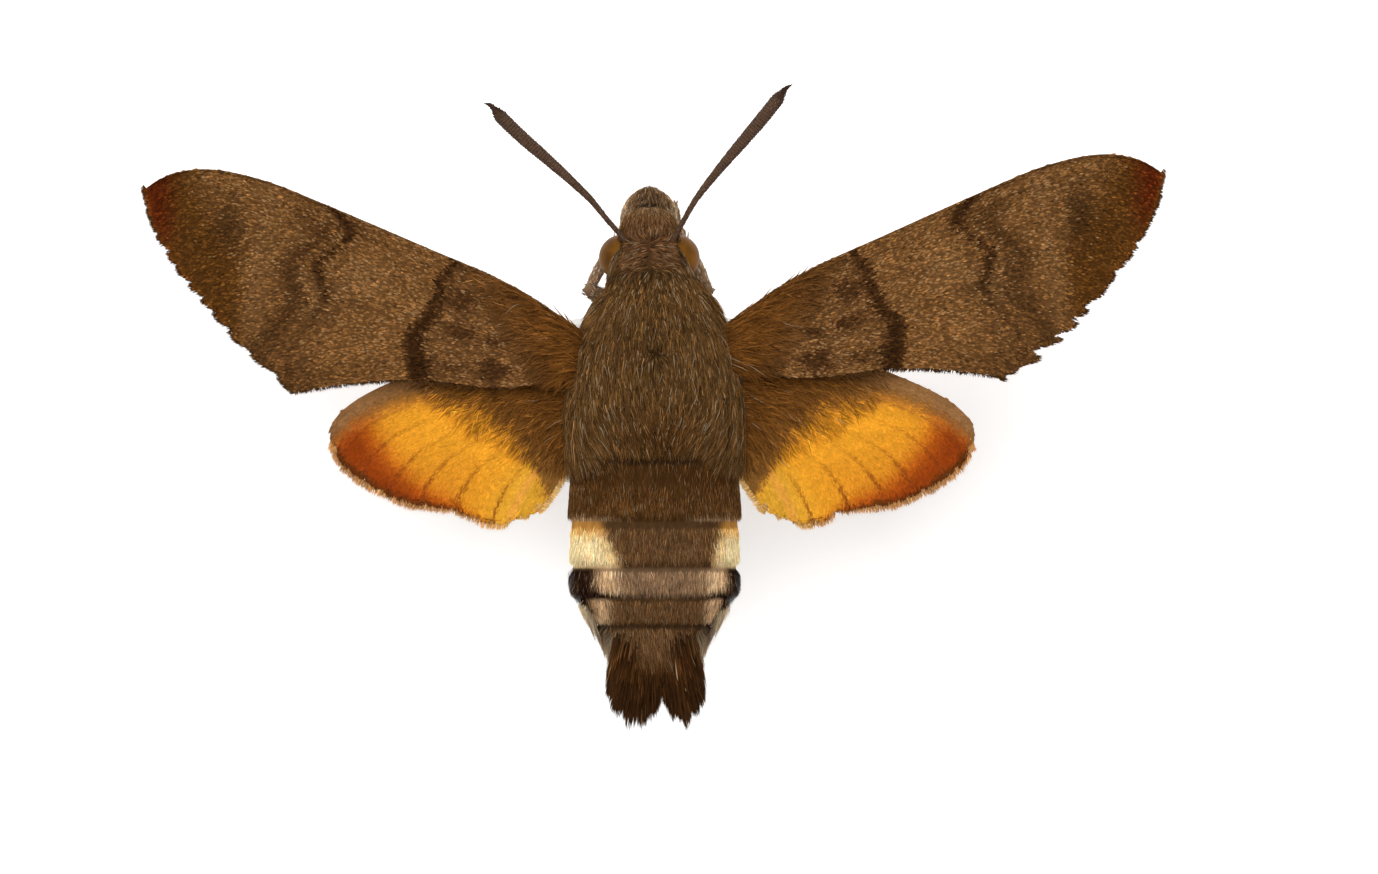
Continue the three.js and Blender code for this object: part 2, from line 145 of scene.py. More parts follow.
# %% [markdown]
# ## Finishes
# Hair and scales are dry and matt. One function builds that finish, and the others are variations on it. The
# colour of a hair comes from an attribute named tint, which each hair carries from its root, so that the
# skin, the scales and the hairs show one marking. Noise in Object coordinates breaks it up.

# %% A function for finishes
def finish(name, colour=None, rough=0.6, metal=0.0, coat=0.0, specular=0.3,
           mottle=(40.0, 0.25), relief=(300.0, 0.2), stretch=(1, 1, 1), cells=False):
    """A material from tint or one colour. mottle and relief give waves per centimetre and strength."""
    made = bpy.data.materials.new(name)
    made.use_nodes = True
    nodes = made.node_tree.nodes
    link = made.node_tree.links.new
    shader = nodes["Principled BSDF"]
    settings = {"Roughness": rough, "Metallic": metal, "Coat Weight": coat, "Coat Roughness": 0.1,
                "Specular IOR Level": specular}
    for socket, value in settings.items():
        shader.inputs[socket].default_value = value
    place = nodes.new("ShaderNodeTexCoord")
    turn = nodes.new("ShaderNodeMapping")
    turn.inputs["Scale"].default_value = [s / MM for s in stretch]
    link(place.outputs["Object"], turn.inputs["Vector"])
    if colour is None:
        tint = nodes.new("ShaderNodeAttribute")
        tint.attribute_name = "tint"
        source = tint.outputs["Color"]
    else:
        fixed = nodes.new("ShaderNodeRGB")
        fixed.outputs[0].default_value = (*colour, 1)
        source = fixed.outputs[0]
    noise = nodes.new("ShaderNodeTexNoise")
    noise.inputs["Scale"].default_value = mottle[0] / 10
    noise.inputs["Detail"].default_value = 4
    link(turn.outputs["Vector"], noise.inputs["Vector"])
    spread = nodes.new("ShaderNodeMapRange")
    spread.inputs["From Min"].default_value = 0.3
    spread.inputs["From Max"].default_value = 0.7
    spread.inputs["To Min"].default_value = 1 - mottle[1]
    spread.inputs["To Max"].default_value = 1 + mottle[1]
    link(noise.outputs["Fac"], spread.inputs["Value"])
    shade = nodes.new("ShaderNodeVectorMath")
    shade.operation = "SCALE"
    link(source, shade.inputs[0])
    link(spread.outputs["Result"], shade.inputs["Scale"])
    link(shade.outputs["Vector"], shader.inputs["Base Color"])
    grain = nodes.new("ShaderNodeTexVoronoi" if cells else "ShaderNodeTexNoise")
    grain.inputs["Scale"].default_value = relief[0] / 10
    link(turn.outputs["Vector"], grain.inputs["Vector"])
    emboss = nodes.new("ShaderNodeBump")
    emboss.inputs["Strength"].default_value = relief[1]
    emboss.inputs["Distance"].default_value = 0.02 * MM
    link(grain.outputs["Distance" if cells else "Fac"], emboss.inputs["Height"])
    link(emboss.outputs["Normal"], shader.inputs["Normal"])
    return made


HAIR = finish("hair", rough=0.75, specular=0.02, mottle=(12, 0.15), relief=(200, 0.1))
SKIN = finish("skin under the coat", rough=0.85, specular=0.02, mottle=(30, 0.25), relief=(120, 0.6),
              stretch=(1, 0.25, 1))
SCALE = finish("wing scales", rough=0.75, specular=0.02, mottle=(20, 0.12), relief=(300, 0.1))
MEMBRANE = finish("wing membrane", rough=0.8, specular=0.02, mottle=(60, 0.3), relief=(80, 0.5))
print("finishes", [m.name for m in bpy.data.materials])


# %% [markdown]
# ## A tube to bend into anything
# Legs, feelers, the tongue and the body itself are all tubes. A circle is extruded into a straight tube of
# length one, and a function then moves each vertex to its real place. One way of modelling does for all.

# %% A straight tube and a way to place it
def straight_tube(sides, steps):
    """A closed tube of radius 1 along Z, from 0 to 1."""
    bm = bmesh.new()
    bmesh.ops.create_circle(bm, cap_ends=True, segments=sides, radius=1)
    edges = list(bm.edges)
    for _ in range(steps):
        made = bmesh.ops.extrude_edge_only(bm, edges=edges)["geom"]
        verts = [g for g in made if isinstance(g, bmesh.types.BMVert)]
        edges = [g for g in made if isinstance(g, bmesh.types.BMEdge)]
        bmesh.ops.translate(bm, verts=verts, vec=(0, 0, 1 / steps))
        edges = [e for e in edges if all(v in set(verts) for v in e.verts)]
    bmesh.ops.contextual_create(bm, geom=edges)
    bmesh.ops.recalc_face_normals(bm, faces=bm.faces)
    return bm


def bent_tube(points, wide, thick=None, sides=12, steps=40, up=(0, 0, 1)):
    """A tube along a smooth line. wide and thick give its width and thickness at a share of the line."""
    thick = thick or wide
    bm = straight_tube(sides, steps)
    shares = np.array([v.co.z for v in bm.verts])
    centres = along(points, shares)
    ahead = unit(along(points, shares + 0.01) - along(points, shares - 0.01))
    side = unit(np.cross(np.asarray(up, float), ahead))
    over = np.cross(ahead, side)
    for v, share, centre, s, o in zip(bm.verts, shares, centres, side, over):
        v.co = centre + s * v.co.x * wide(share) / 2 + o * v.co.y * thick(share) / 2
    bmesh.ops.recalc_face_normals(bm, faces=bm.faces)
    return bm


# %% Turning a bmesh or arrays into a piece
def join_into(bm, other):
    """Adds another bmesh to this one."""
    loose = bpy.data.meshes.new("loose")
    other.to_mesh(loose)
    other.free()
    bm.from_mesh(loose)
    bpy.data.meshes.remove(loose)
    return bm


def piece(name, bm, material, replaces=(), smooth_faces=True):
    """Finishes a bmesh in millimetres as a piece in metres that rides with the model."""
    bmesh.ops.scale(bm, verts=bm.verts, vec=(MM, MM, MM))
    mesh = bpy.data.meshes.new(name)
    bm.to_mesh(mesh)
    bm.free()
    return settle(name, mesh, material, replaces, smooth_faces)


def settle(name, mesh, material, replaces=(), smooth_faces=True):
    """Links a finished mesh as a piece, with its finish and the solids it stands for."""
    mesh.polygons.foreach_set("use_smooth", [smooth_faces] * len(mesh.polygons))
    made = bpy.data.objects.new(name, mesh)
    scene.collection.objects.link(made)
    mesh.materials.append(material)
    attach(made, "root")
    if replaces:
        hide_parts(*replaces)
    return made


def paint(made, colours):
    """Gives every vertex of a piece its tint."""
    tint = made.data.color_attributes.new("tint", "FLOAT_COLOR", "POINT")
    rgba = np.ones((len(colours), 4), np.float32)
    rgba[:, :3] = np.clip(colours, 0, 1)
    tint.data.foreach_set("color", rgba.ravel())


def places(made):
    """The vertices of a piece, in millimetres."""
    co = np.empty(3 * len(made.data.vertices), np.float32)
    made.data.vertices.foreach_get("co", co)
    return co.reshape(-1, 3) / MM


# %% [markdown]
# ## Hairs and scales
# A real coat is thousands of hairs, so each one must be cheap. A hair here is a three-sided spike. It has
# ten triangles with one bend, or four where it is short and straight. A scale is a flat kite with a low
# ridge, of five corners and six triangles. numpy places them all at once. Each piece of coat carries a map
# named OFBake, where a hair is one tiny patch at its root's place on the unwrapped surface, so that a baked
# picture gives it its own colour.

# %% Growing hairs and scales from arrays
PATCH = 0.003  # width of a hair's patch on the map
SWAY = 0.12  # how much hairs stray from the lie
STRAIGHT_FACES = np.array([[0, 2, 1], [0, 1, 3], [1, 2, 3], [2, 0, 3]])
HAIR_FACES = np.array([[0, 2, 1], [0, 1, 4], [0, 4, 3], [1, 2, 5], [1, 5, 4], [2, 0, 3], [2, 3, 5],
                       [3, 4, 6], [4, 5, 6], [5, 3, 6]])
SCALE_FACES = np.array([[0, 1, 4], [1, 3, 4], [3, 2, 4], [2, 0, 4], [0, 2, 1], [1, 2, 3]])


def coat_piece(name, corners, faces, colours, unwrap, material):
    """One piece from many small closed shapes: corners is shapes x corners x 3."""
    count, each = corners.shape[:2]
    tris = (faces[None] + each * np.arange(count)[:, None, None]).reshape(-1, 3)
    mesh = bpy.data.meshes.new(name)
    mesh.vertices.add(count * each)
    mesh.vertices.foreach_set("co", (corners * MM).astype(np.float32).ravel())
    mesh.loops.add(tris.size)
    mesh.loops.foreach_set("vertex_index", tris.astype(np.int32).ravel())
    mesh.polygons.add(len(tris))
    mesh.polygons.foreach_set("loop_start", np.arange(0, tris.size, 3, dtype=np.int32))
    mesh.update(calc_edges=True)
    corner_spread = PATCH * np.stack([np.arange(each) / each, (np.arange(each) * 3 % each) / each], 1)
    flat = unwrap[:, None, :] + corner_spread[None] - PATCH / 2
    uv = mesh.uv_layers.new(name="OFBake")
    flat = np.clip(flat, 0.001, 0.999).reshape(-1, 2)[tris.ravel()]
    uv.data.foreach_set("uv", flat.astype(np.float32).ravel())
    made = settle(name, mesh, material, smooth_faces=False)
    paint(made, colours.reshape(-1, 3))
    print(name, count, "shapes,", len(tris), "triangles")
    return made


def hairs_between(name, start, middle, tip, side, over, width, colours, unwrap):
    """Hairs through three given points each, or straight from start to tip where middle is None."""
    width = np.broadcast_to(width, len(start))[:, None]
    ring = lambda centre, share: [centre - side * width * share / 2, centre + side * width * share / 2,
                                  centre + over * width * share * 0.45]
    # The tint runs darker at the root and lighter at the tip: painted shade deep in the coat and painted
    # light on the hair ends; on the wing fringes the darker roots are partly their own colour too.
    if middle is None:
        corners, faces = np.stack([*ring(start, 1.0), tip], axis=1), STRAIGHT_FACES
        shade = np.array([0.6, 0.6, 0.7, 1.15])[None, :, None]
    else:
        corners, faces = np.stack([*ring(start, 1.0), *ring(middle, 0.8), tip], axis=1), HAIR_FACES
        shade = np.array([0.45, 0.45, 0.5, 0.95, 0.95, 1.02, 1.3])[None, :, None]
    return coat_piece(name, corners, faces, colours[:, None, :] * shade, unwrap, HAIR)


def grow_hairs(name, roots, normals, lie, length, width, lift, colours, unwrap, straight=False):
    """Hairs that leave the surface at a low angle and bend back along it, or lie straight."""
    count = len(roots)
    lie = unit(lie - normals * np.sum(lie * normals, axis=1, keepdims=True))
    side = np.cross(normals, lie)
    lie = unit(lie + side * draw.normal(0, SWAY, (count, 1)))
    side = np.cross(normals, lie)
    length, lift = (np.broadcast_to(a, count)[:, None] for a in (length, lift))
    droop = draw.uniform(0.35, 0.95, (count, 1))
    middle = roots + lie * length * 0.5 + normals * length * lift * 0.8
    tip = roots + lie * length + normals * length * lift * droop
    tip = tip + side * length * draw.normal(0, 0.08, (count, 1))
    middle = None if straight else middle
    start = roots - normals * 0.04
    return hairs_between(name, start, middle, tip, side, normals, width, colours, unwrap)


def grow_scales(name, roots, normals, lie, length, width, lift, colours, unwrap):
    """Flat kites that overlap like tiles."""
    count = len(roots)
    side = np.cross(normals, lie)
    length, width, lift = (np.broadcast_to(a, count)[:, None] for a in (length, width, lift))
    base = roots - normals * 0.01
    wide = roots + lie * length * 0.62 + normals * length * lift * 0.62
    tip = roots + lie * length + normals * length * lift
    ridge = roots + lie * length * 0.6 + normals * (length * lift * 0.6 + 0.012)
    corners = np.stack([base, wide + side * width / 2, wide - side * width / 2, tip, ridge], axis=1)
    # Each scale is painted darker at its base and lighter at its tip and ridge: painted shade under the
    # scale before it and painted light on its raised parts.
    shade = np.array([0.9, 0.97, 0.97, 1.05, 1.03])[None, :, None]
    return coat_piece(name, corners, SCALE_FACES, colours[:, None, :] * shade, unwrap, SCALE)


def vary(colours, amount, pale_share=0.0, pale=(0.5, 0.4, 0.3)):
    """Makes each hair a little lighter or darker, and a few of them pale: partly a pale colour of their own,
    partly painted glints.
    """
    lightness = np.exp(draw.normal(0, amount, (len(colours), 1)))
    pick = (draw.random(len(colours)) < pale_share).astype(float)
    return blend_colours(colours * lightness, pale, 0.55 * pick)


print("triangles:", len(HAIR_FACES), "a bent hair,", len(STRAIGHT_FACES), "a straight one,",
      len(SCALE_FACES), "a scale")

# %% [markdown]
# ## The body's skin
# Head, thorax, abdomen and palps are one skin here, so that no seam shows under the coat. It lies inside the
# solids by the depth of the hair. A tube is shaped by the body's outline, the two palps are added as tubes
# of their own, and a voxel remesh melts the three into one closed surface.

# %% The body's outline in millimetres: place along it, half width, top and underside
OUTLINE = np.array([
    [8.85, 0.70, 10.90, 9.70], [8.65, 1.10, 11.30, 9.30], [8.30, 1.35, 11.60, 8.90],
    [7.80, 1.50, 11.85, 8.60], [7.20, 1.60, 12.05, 8.45], [6.70, 1.75, 12.20, 8.40],
    [6.20, 1.95, 12.30, 8.40], [5.60, 2.40, 12.70, 8.00], [4.70, 2.95, 13.25, 7.50],
    [3.40, 3.60, 13.80, 7.10], [2.00, 4.00, 14.05, 6.85], [0.40, 4.20, 14.00, 6.80],
    [-1.20, 4.20, 13.72, 6.95], [-2.40, 4.12, 13.30, 7.05], [-3.30, 4.05, 13.10, 7.10],
    [-5.20, 4.05, 12.95, 6.95], [-7.35, 3.98, 12.75, 7.00], [-8.40, 3.85, 12.50, 7.15],
    [-9.20, 3.30, 12.20, 7.45], [-10.10, 2.70, 11.80, 7.90], [-11.20, 2.17, 11.32, 8.40],
    [-12.00, 1.95, 11.00, 8.85], [-12.60, 1.60, 10.70, 9.20], [-13.00, 1.00, 10.45, 9.55],
])
WIDEST = 0.58  # share of the height at which the body is widest
RING_ENDS = np.array([-2.0, -5.1, -7.3, -8.62, -9.92, -11.6])  # where the fringe of each ring ends
FRINGE = 0.38  # how far a fringe reaches past the ring of skin that carries it
RING_STEP = 0.24
HEAD_SHIFT = -0.24
EYE_MIDDLE = np.array([1.25, 6.8, 10.2])
EYE_RADII = np.array([1.05, 1.05, 1.25])
PALP_LINE = [(0.76, 7.2, 8.9), (0.76, 8.0, 8.7), (0.68, 8.65, 9.1), (0.5, 9.1, 9.7), (0.28, 9.42, 10.3),
             (0.13, 9.7, 10.7)]


def head_shift(y):
    """How far the middle of the body lies to the side: the head is set a little to the left."""
    return HEAD_SHIFT * smooth(y, 5.2, 6.6)


def coat_depth(y):
    """How deep the coat is at a place along the body."""
    return 0.24 + 0.2 * smooth(y, -1.7, -1.5) * smooth(y, 6.3, 5.4)


def ring_step(y):
    """Each ring of the abdomen swells towards its end, where its fringe covers the next ring."""
    ends = RING_ENDS + FRINGE
    ring = np.clip(np.searchsorted(-ends, -y) - 1, 0, len(ends) - 2)
    share = (ends[ring] - y) / (ends[ring] - ends[ring + 1])
    on_rings = RING_STEP * (np.clip(share, 0, 1) ** 0.7 - 0.6) * (y < ends[0]) * (y > ends[-1])
    return on_rings + 0.1 * smooth(y, 1.5, -0.8) * (y >= ends[0])


def pin_hole(x, y):
    """Depth of the dimples that the pin and a fold left in the thorax."""
    hole = 0.55 * np.exp(-(((x - 0.03) / 0.26) ** 2 + ((y - 2.72) / 0.22) ** 2))
    dimple = 0.22 * np.exp(-(((x - 0.18) / 0.3) ** 2 + ((y - 3.55) / 0.2) ** 2))
    return hole + dimple


# %% The skin: a tube along the body, two palps and a remesh
body = straight_tube(72, 150)
shares = np.array([v.co.z for v in body.verts])
stations = along(OUTLINE, shares)
for v, (y, half, top, low) in zip(body.verts, stations):
    inset = float(coat_depth(y)) - float(ring_step(np.array(y)))
    middle = low + WIDEST * (top - low)
    rise = (top - middle - inset) if v.co.y > 0 else (middle - low - inset)
    v.co = (float(head_shift(y)) + (half - inset) * v.co.x, y, middle + rise * v.co.y)
bmesh.ops.recalc_face_normals(body, faces=body.faces)
for side in (1, -1):
    line = [(side * x + HEAD_SHIFT, y, z) for x, y, z in PALP_LINE]
    palp_width = lambda t: 0.1 + 0.95 * math.sin(math.pi * (0.12 + 0.8 * float(t)))
    join_into(body, bent_tube(line, palp_width, sides=20, steps=20, up=(0, -1, 0.2)))
rough = bpy.data.meshes.new("body rough")
body.to_mesh(rough)
body.free()
melt = bpy.data.objects.new("body rough", rough)
scene.collection.objects.link(melt)
remesh = melt.modifiers.new("melt", "REMESH")
remesh.mode = "VOXEL"
remesh.voxel_size = 0.125  # in millimetres, as the tube is
bpy.context.view_layer.update()
melted = bpy.data.meshes.new_from_object(melt.evaluated_get(bpy.context.evaluated_depsgraph_get()))
bpy.data.objects.remove(melt)
body = bmesh.new()
body.from_mesh(melted)
bmesh.ops.smooth_vert(body, verts=body.verts, factor=0.5, use_axis_x=True, use_axis_y=True, use_axis_z=True)
for v in body.verts:
    if v.co.z > 11:
        v.co.z -= float(pin_hole(v.co.x, v.co.y))
flesh = ("head", "thorax", "abdomen", "tail_tuft", "palp_right", "palp_left")
skin = piece("body_skin", body, SKIN, flesh)
print("skin", len(skin.data.polygons), "faces", [round(d / MM, 2) for d in skin.dimensions])


# %% [markdown]
# ## Where a point lies on the body
# Markings and the lie of the coat depend on two things: how far along the body a point is, and how far round
# it. These two also flatten the skin into a map, as if it were cut along the belly and rolled out.

# %% Places on the body, and random roots on its skin
def round_body(points):
    """Angle round the body: 0 on the back, 90 at the right flank, 180 under the belly."""
    rows = OUTLINE[::-1]
    top, low = (np.interp(points[:, 1], rows[:, 0], rows[:, k]) for k in (2, 3))
    middle = low + WIDEST * (top - low)
    return np.degrees(np.arctan2(points[:, 0] - head_shift(points[:, 1]), points[:, 2] - middle))


def body_unwrap(points):
    """The skin rolled out flat, on a square from 0 to 1."""
    along_body = (points[:, 1] + 13.2) / (10.2 + 13.2)
    return np.stack([along_body, round_body(points) / 360 + 0.5], axis=1)


def scatter(made, count, chance):
    """Random roots on a piece, with their normals. chance(points, normals) says how likely each is kept."""
    mesh = made.data
    mesh.calc_loop_triangles()
    tris = np.empty(3 * len(mesh.loop_triangles), np.int32)
    mesh.loop_triangles.foreach_get("vertices", tris)
    tris = tris.reshape(-1, 3)
    co = places(made)
    bend = np.empty(3 * len(mesh.vertices), np.float32)
    mesh.vertices.foreach_get("normal", bend)
    bend = bend.reshape(-1, 3)
    a, b, c = (co[tris[:, k]] for k in range(3))
    area = np.linalg.norm(np.cross(b - a, c - a), axis=1)
    middle = (a + b + c) / 3
    weight = area * np.clip(chance(middle, unit(bend[tris].mean(axis=1))), 0, 1)
    pick = draw.choice(len(tris), count, p=weight / weight.sum())
    u, v = draw.random((2, count, 1))
    flip = u + v > 1
    u, v = np.where(flip, 1 - u, u), np.where(flip, 1 - v, v)
    roots = a[pick] * (1 - u - v) + b[pick] * u + c[pick] * v
    normals = unit(bend[tris[pick, 0]] * (1 - u - v) + bend[tris[pick, 1]] * u + bend[tris[pick, 2]] * v)
    return roots, normals


# %% [markdown]
# ## Markings of the body
# The thorax is olive brown, the abdomen brown with a cream patch on each flank of the second ring, black and
# cream streaks behind it, and a nearly black tail. The underside is pale, as in the living species. One
# function gives the colour of any point, and both the skin and every hair ask it.

# %% The colour of any point of the body
OLIVE = (0.086, 0.042, 0.013)
UMBER = (0.080, 0.034, 0.009)
RING_BROWN = (0.112, 0.054, 0.020)
REDDISH = (0.110, 0.052, 0.021)
TAIL_BROWN = (0.060, 0.023, 0.006)
BLACK = (0.018, 0.007, 0.003)
TAUPE = (0.25, 0.15, 0.082)
CREAM = (0.95, 0.66, 0.33)
ORANGE = (0.72, 0.33, 0.07)
STREAK = (0.62, 0.39, 0.21)
# pale hairs: partly a pale colour, partly painted glints of light on glossy hairs
PALE_FROST_AND_GLINT = (0.36, 0.27, 0.17)
BELLY = (0.46, 0.33, 0.20)


def body_colour(points, fuzz=0.0):
    """Linear colour of points on the body, with painted shade in its folds, hollows and joints. fuzz shifts
    each at random, which frays the edges of patches.
    """
    x = points[:, 0] - head_shift(points[:, 1]) + fuzz * draw.normal(0, 1, len(points))
    y = points[:, 1] + 0.5 * fuzz * draw.normal(0, 1, len(points))
    round_it = np.abs(round_body(points))
    wide, left = np.abs(x), x < 0
    crown = smooth(y, 6.0, 6.8) * smooth(y, 8.6, 8.0) * smooth(wide, 1.6, 0.6)
    crease_shade = bump(np.abs(wide - 0.62 * (y - 8.7)), 0, 0.13) * bump(y, 9.1, 0.4)
    hole = np.exp(-((x / 0.34) ** 2 + ((y - 2.7) / 0.3) ** 2))
    dimple = np.exp(-(((x - 0.2) / 0.3) ** 2 + ((y - 3.6) / 0.2) ** 2))
    ring_two = smooth(y, -5.06, -5.14) * smooth(y, -7.34, -7.26)
    inner = np.where(left, 2.45 + 0.42 * (y + 5.3), 3.1 + 0.16 * (y + 5.3))
    patch = ring_two * smooth(wide, inner - 0.35, inner + 0.3) * smooth(round_it, 128, 112)
    ring_three = smooth(y, -7.26, -7.34) * smooth(y, -8.66, -8.58)
    streak = bump(wide, np.where(left, 2.1, 2.85), 0.5)
    black_from = np.where(left, 2.75, 3.3) - 1.2 * smooth(y, -8.1, -8.55)
    flank = smooth(wide, black_from - 0.12, black_from + 0.12)
    ring_four = smooth(y, -8.58, -8.66) * smooth(y, -9.96, -9.88)
    pale_end = bump(y, -5.03, 0.08) * smooth(wide, 1.4, 2.2)
    belly = smooth(round_it, 108, 145) * smooth(y, -12.0, -10.5)
    belly_colour = np.array(BELLY) * np.where(y > -3, 1.0, 0.55)[:, None]
    return layered(OLIVE, len(points), [
        (UMBER, smooth(y, -1.5, -2.4)),
        (np.array(UMBER) * 0.8, bump(y, -0.8, 1.0) * bump(x, 0.3, 2.0)),
        (RING_BROWN, smooth(y, -5.0, -5.2)),
        (REDDISH, crown),
        ((0.16, 0.092, 0.045), smooth(y, 8.1, 9.0)),  # the paler snout
        ((0.05, 0.035, 0.025), 0.8 * smooth(y, 9.55, 9.85)),
        # painted shade in the V-shaped fold of the snout
        ((0.03, 0.018, 0.01), 0.75 * crease_shade),
        # painted shade at the neck, where head and thorax meet
        ((0.045, 0.025, 0.01), 0.7 * (bump(y, 6.12, 0.12) * smooth(wide, 2.2, 1.6))),  # the neck
        (PALE_FROST_AND_GLINT, 0.8 * bump(wide, 1.66, 0.14) * bump(y, 6.95, 0.42) * (round_it < 85)),  # beside the eyes
        # painted shade along the thorax's rear edge, under the fringe that hangs over the first ring
        ((0.022, 0.012, 0.005), 0.85 * bump(y, -2.4, 0.2) * smooth(wide, 2.9, 1.6)),
        # the pin hole and the dimple beside it are painted dark: painted shade in these hollows
        ((0.02, 0.011, 0.005), 0.9 * hole),
        ((0.055, 0.03, 0.012), 0.6 * dimple),
        (ORANGE, patch),
        (CREAM, patch * smooth(y, -5.4, -6.1)),
        (TAUPE, 0.75 * ring_three),
        (STREAK, ring_three * streak * smooth(y, -8.62, -8.2)),
        (BLACK, ring_three * flank * (round_it < 132)),
        # a thin black line where ring three's fringe ends: painted shadow of the fringe on the next ring
        (BLACK, 0.75 * bump(y, -8.5, 0.1)),
        (STREAK, 0.8 * ring_four * bump(wide, np.where(left, 2.45, 2.8), 0.36)),
        (BLACK, ring_four * smooth(wide, 2.95, 3.15) * smooth(y, -9.9, -9.2) * (round_it < 125)),
        # the same painted shadow where ring four's fringe ends
        (BLACK, 0.6 * bump(y, -9.87, 0.1)),
        (STREAK, 0.7 * pale_end),
        ((0.15, 0.085, 0.04), 0.5 * bump(y, -10.4, 0.4) * bump(wide, 1.4, 0.6)),
        (TAIL_BROWN, smooth(y, -10.7, -12.0)),
        (belly_colour, 0.9 * belly),
    ])


# The skin is painted at under half the coat's colour: painted shade deep in the coat, which shows in the
# gaps between hairs.
paint(skin, 0.45 * body_colour(places(skin)))

# %% [markdown]
# ## The lie of the coat
# On a moth the hair of the crown lies to both sides, that of the snout leans forward, and everything behind
# the neck lies back towards the tail. On the thorax it spreads from the neck and then draws together at the
# rear, where a fringe hangs over the first ring. The length of a hair is set by where it grows.

# %% Direction, length and lift of the hair at any point
SNOUT_TIP = np.array([HEAD_SHIFT, 10.1, 10.6])


def coat_lie(points):
    """Which way the hair points."""
    x, y = points[:, 0] - head_shift(points[:, 1]), points[:, 1]
    back = np.zeros_like(points)
    back[:, 1] = -1
    back[:, 0] = 0.07 * x * smooth(y, 0, 5) - 0.24 * x * bump(y, -1.0, 1.5) + 0.08 * x * smooth(y, -9, -12)
    flank = smooth(np.abs(x), 2.7, 3.7) * (points[:, 2] > 9.6)
    back[:, 0] += np.sign(x) * flank * (0.85 * bump(y, 1.9, 1.5) + 0.45 * bump(y, -1.2, 1.4))
    back[:, 0] += np.sign(x) * 0.8 * smooth(np.abs(x), 1.5, 2.4) * bump(y, 4.9, 1.1)
    back[:, 0] += 0.16 * ripple(x, y, 0.9, 3)
    hole = points - np.array([0.03, 2.4, 12.6])
    near = np.exp(-((np.linalg.norm(hole[:, :2], axis=1) / 0.55) ** 2))[:, None]
    back = back + 0.5 * near * unit(hole * [1, 1, 0])
    forward = unit(SNOUT_TIP - points)
    across = np.zeros_like(points)
    across[:, 0] = np.sign(x + 0.01)
    across[:, 1] = -0.55 + 0.5 * ripple(x, y, 0.4, 8)
    head = smooth(y, 6.1, 6.3)[:, None]
    snout = smooth(y, 7.1, 7.8)[:, None]
    return unit(back) * (1 - head) + unit(across) * head * (1 - snout) + forward * snout


def coat_length(points):
    """How long the hair is, in millimetres."""
    x, y = points[:, 0], points[:, 1]
    side = smooth(np.abs(x), 2.3, 3.6)
    length = 0.9 + 0.9 * side * bump(y, -1.2, 1.3) + 0.5 * side * bump(y, 1.6, 1.6)
    length = np.where(y > RING_ENDS[0] + FRINGE, length, 0.62 + 0.6 * smooth(y, -9.6, -11.2))
    length = length - 0.38 * smooth(y, 5.6, 6.3) - 0.1 * smooth(y, 8.0, 9.0)
    length = length + 0.55 * smooth(np.abs(x), 1.5, 2.2) * bump(y, 5.1, 0.9)
    length = length + 0.3 * smooth(np.abs(x - HEAD_SHIFT), 1.0, 1.4) * bump(y, 6.8, 0.6)
    near_pin = np.exp(-((x / 0.45) ** 2 + ((y - 2.75) / 0.4) ** 2))
    return length * (1 - 0.6 * near_pin)


BROW = 1.95  # how far out the hair of the head reaches over an eye


def over_eyes(points):
    """Lifts roots that lie inside an eye onto its surface. Also says which roots to keep."""
    keep = np.ones(len(points), bool)
    lifted = points.copy()
    for side in (1, -1):
        away = (points - EYE_MIDDLE * [side, 1, 1] - [HEAD_SHIFT, 0, 0]) / (EYE_RADII * 1.02)
        inside = np.linalg.norm(away, axis=1) < 1
        top = EYE_MIDDLE[2] + EYE_RADII[2] * np.sqrt(np.clip(1 - away[:, 0] ** 2 - away[:, 1] ** 2, 0, 1))
        brow = inside & (np.abs(points[:, 0] - HEAD_SHIFT) < BROW) & (points[:, 2] > EYE_MIDDLE[2])
        lifted[brow, 2] = top[brow]
        keep &= ~inside | brow
    return lifted, keep


REGIONS = {
    # name: hairs, width, lift, lowest and highest y, whether it is the back, whether hairs are straight
    "coat_head": (12500, 0.05, 0.2, 6.15, 11.0, None, False),
    "coat_thorax_front": (18800, 0.056, 0.15, 2.0, 6.15, True, False),
    "coat_thorax_back": (18000, 0.058, 0.14, -1.62, 2.0, True, False),
    "coat_thorax_under": (13000, 0.085, 0.18, -3.2, 6.15, False, True),
    "coat_abdomen_front": (30000, 0.05, 0.06, -7.0, -1.62, True, True),
    "coat_abdomen_rear": (26000, 0.048, 0.07, -12.4, -7.0, True, True),
    "coat_abdomen_under": (12500, 0.08, 0.1, -12.4, -3.2, False, True),
}
for name, (count, width, lift, low, high, on_back, straight) in REGIONS.items():
    def chance(points, normals):
        """Keeps roots inside the region, off the eyes, and on its side of the body."""
        inside = (points[:, 1] >= low) & (points[:, 1] < high) & over_eyes(points)[1]
        if on_back is None:
            return inside * 1.0
        return inside * ((np.abs(round_body(points)) < 100) == on_back)
    roots, normals = scatter(skin, count, chance)
    roots = over_eyes(roots)[0]
    shown = roots - [0, 1, 0] * (FRINGE * smooth(roots[:, 1], -1.6, -1.9))[:, None]
    # a few hairs turn pale, partly as painted glints
    colours = vary(body_colour(shown, 0.12), 0.54, 0.045, PALE_FROST_AND_GLINT)
    length = coat_length(roots) * draw.uniform(0.8, 1.15, count)
    stand = lift * draw.uniform(0.4, 1.6, count)
    grow_hairs(name, roots, normals, coat_lie(roots), length, width, stand, colours,
               body_unwrap(roots), straight)

# %% [markdown]
# ## The tail fan and the side tufts
# The tail ends in a fan of two lobes with a notch between them. Each of its hairs runs from the tail's core
# to its own place on a lobe's rounded edge. The tufts on the flanks are made the same way, in black and
# cream.

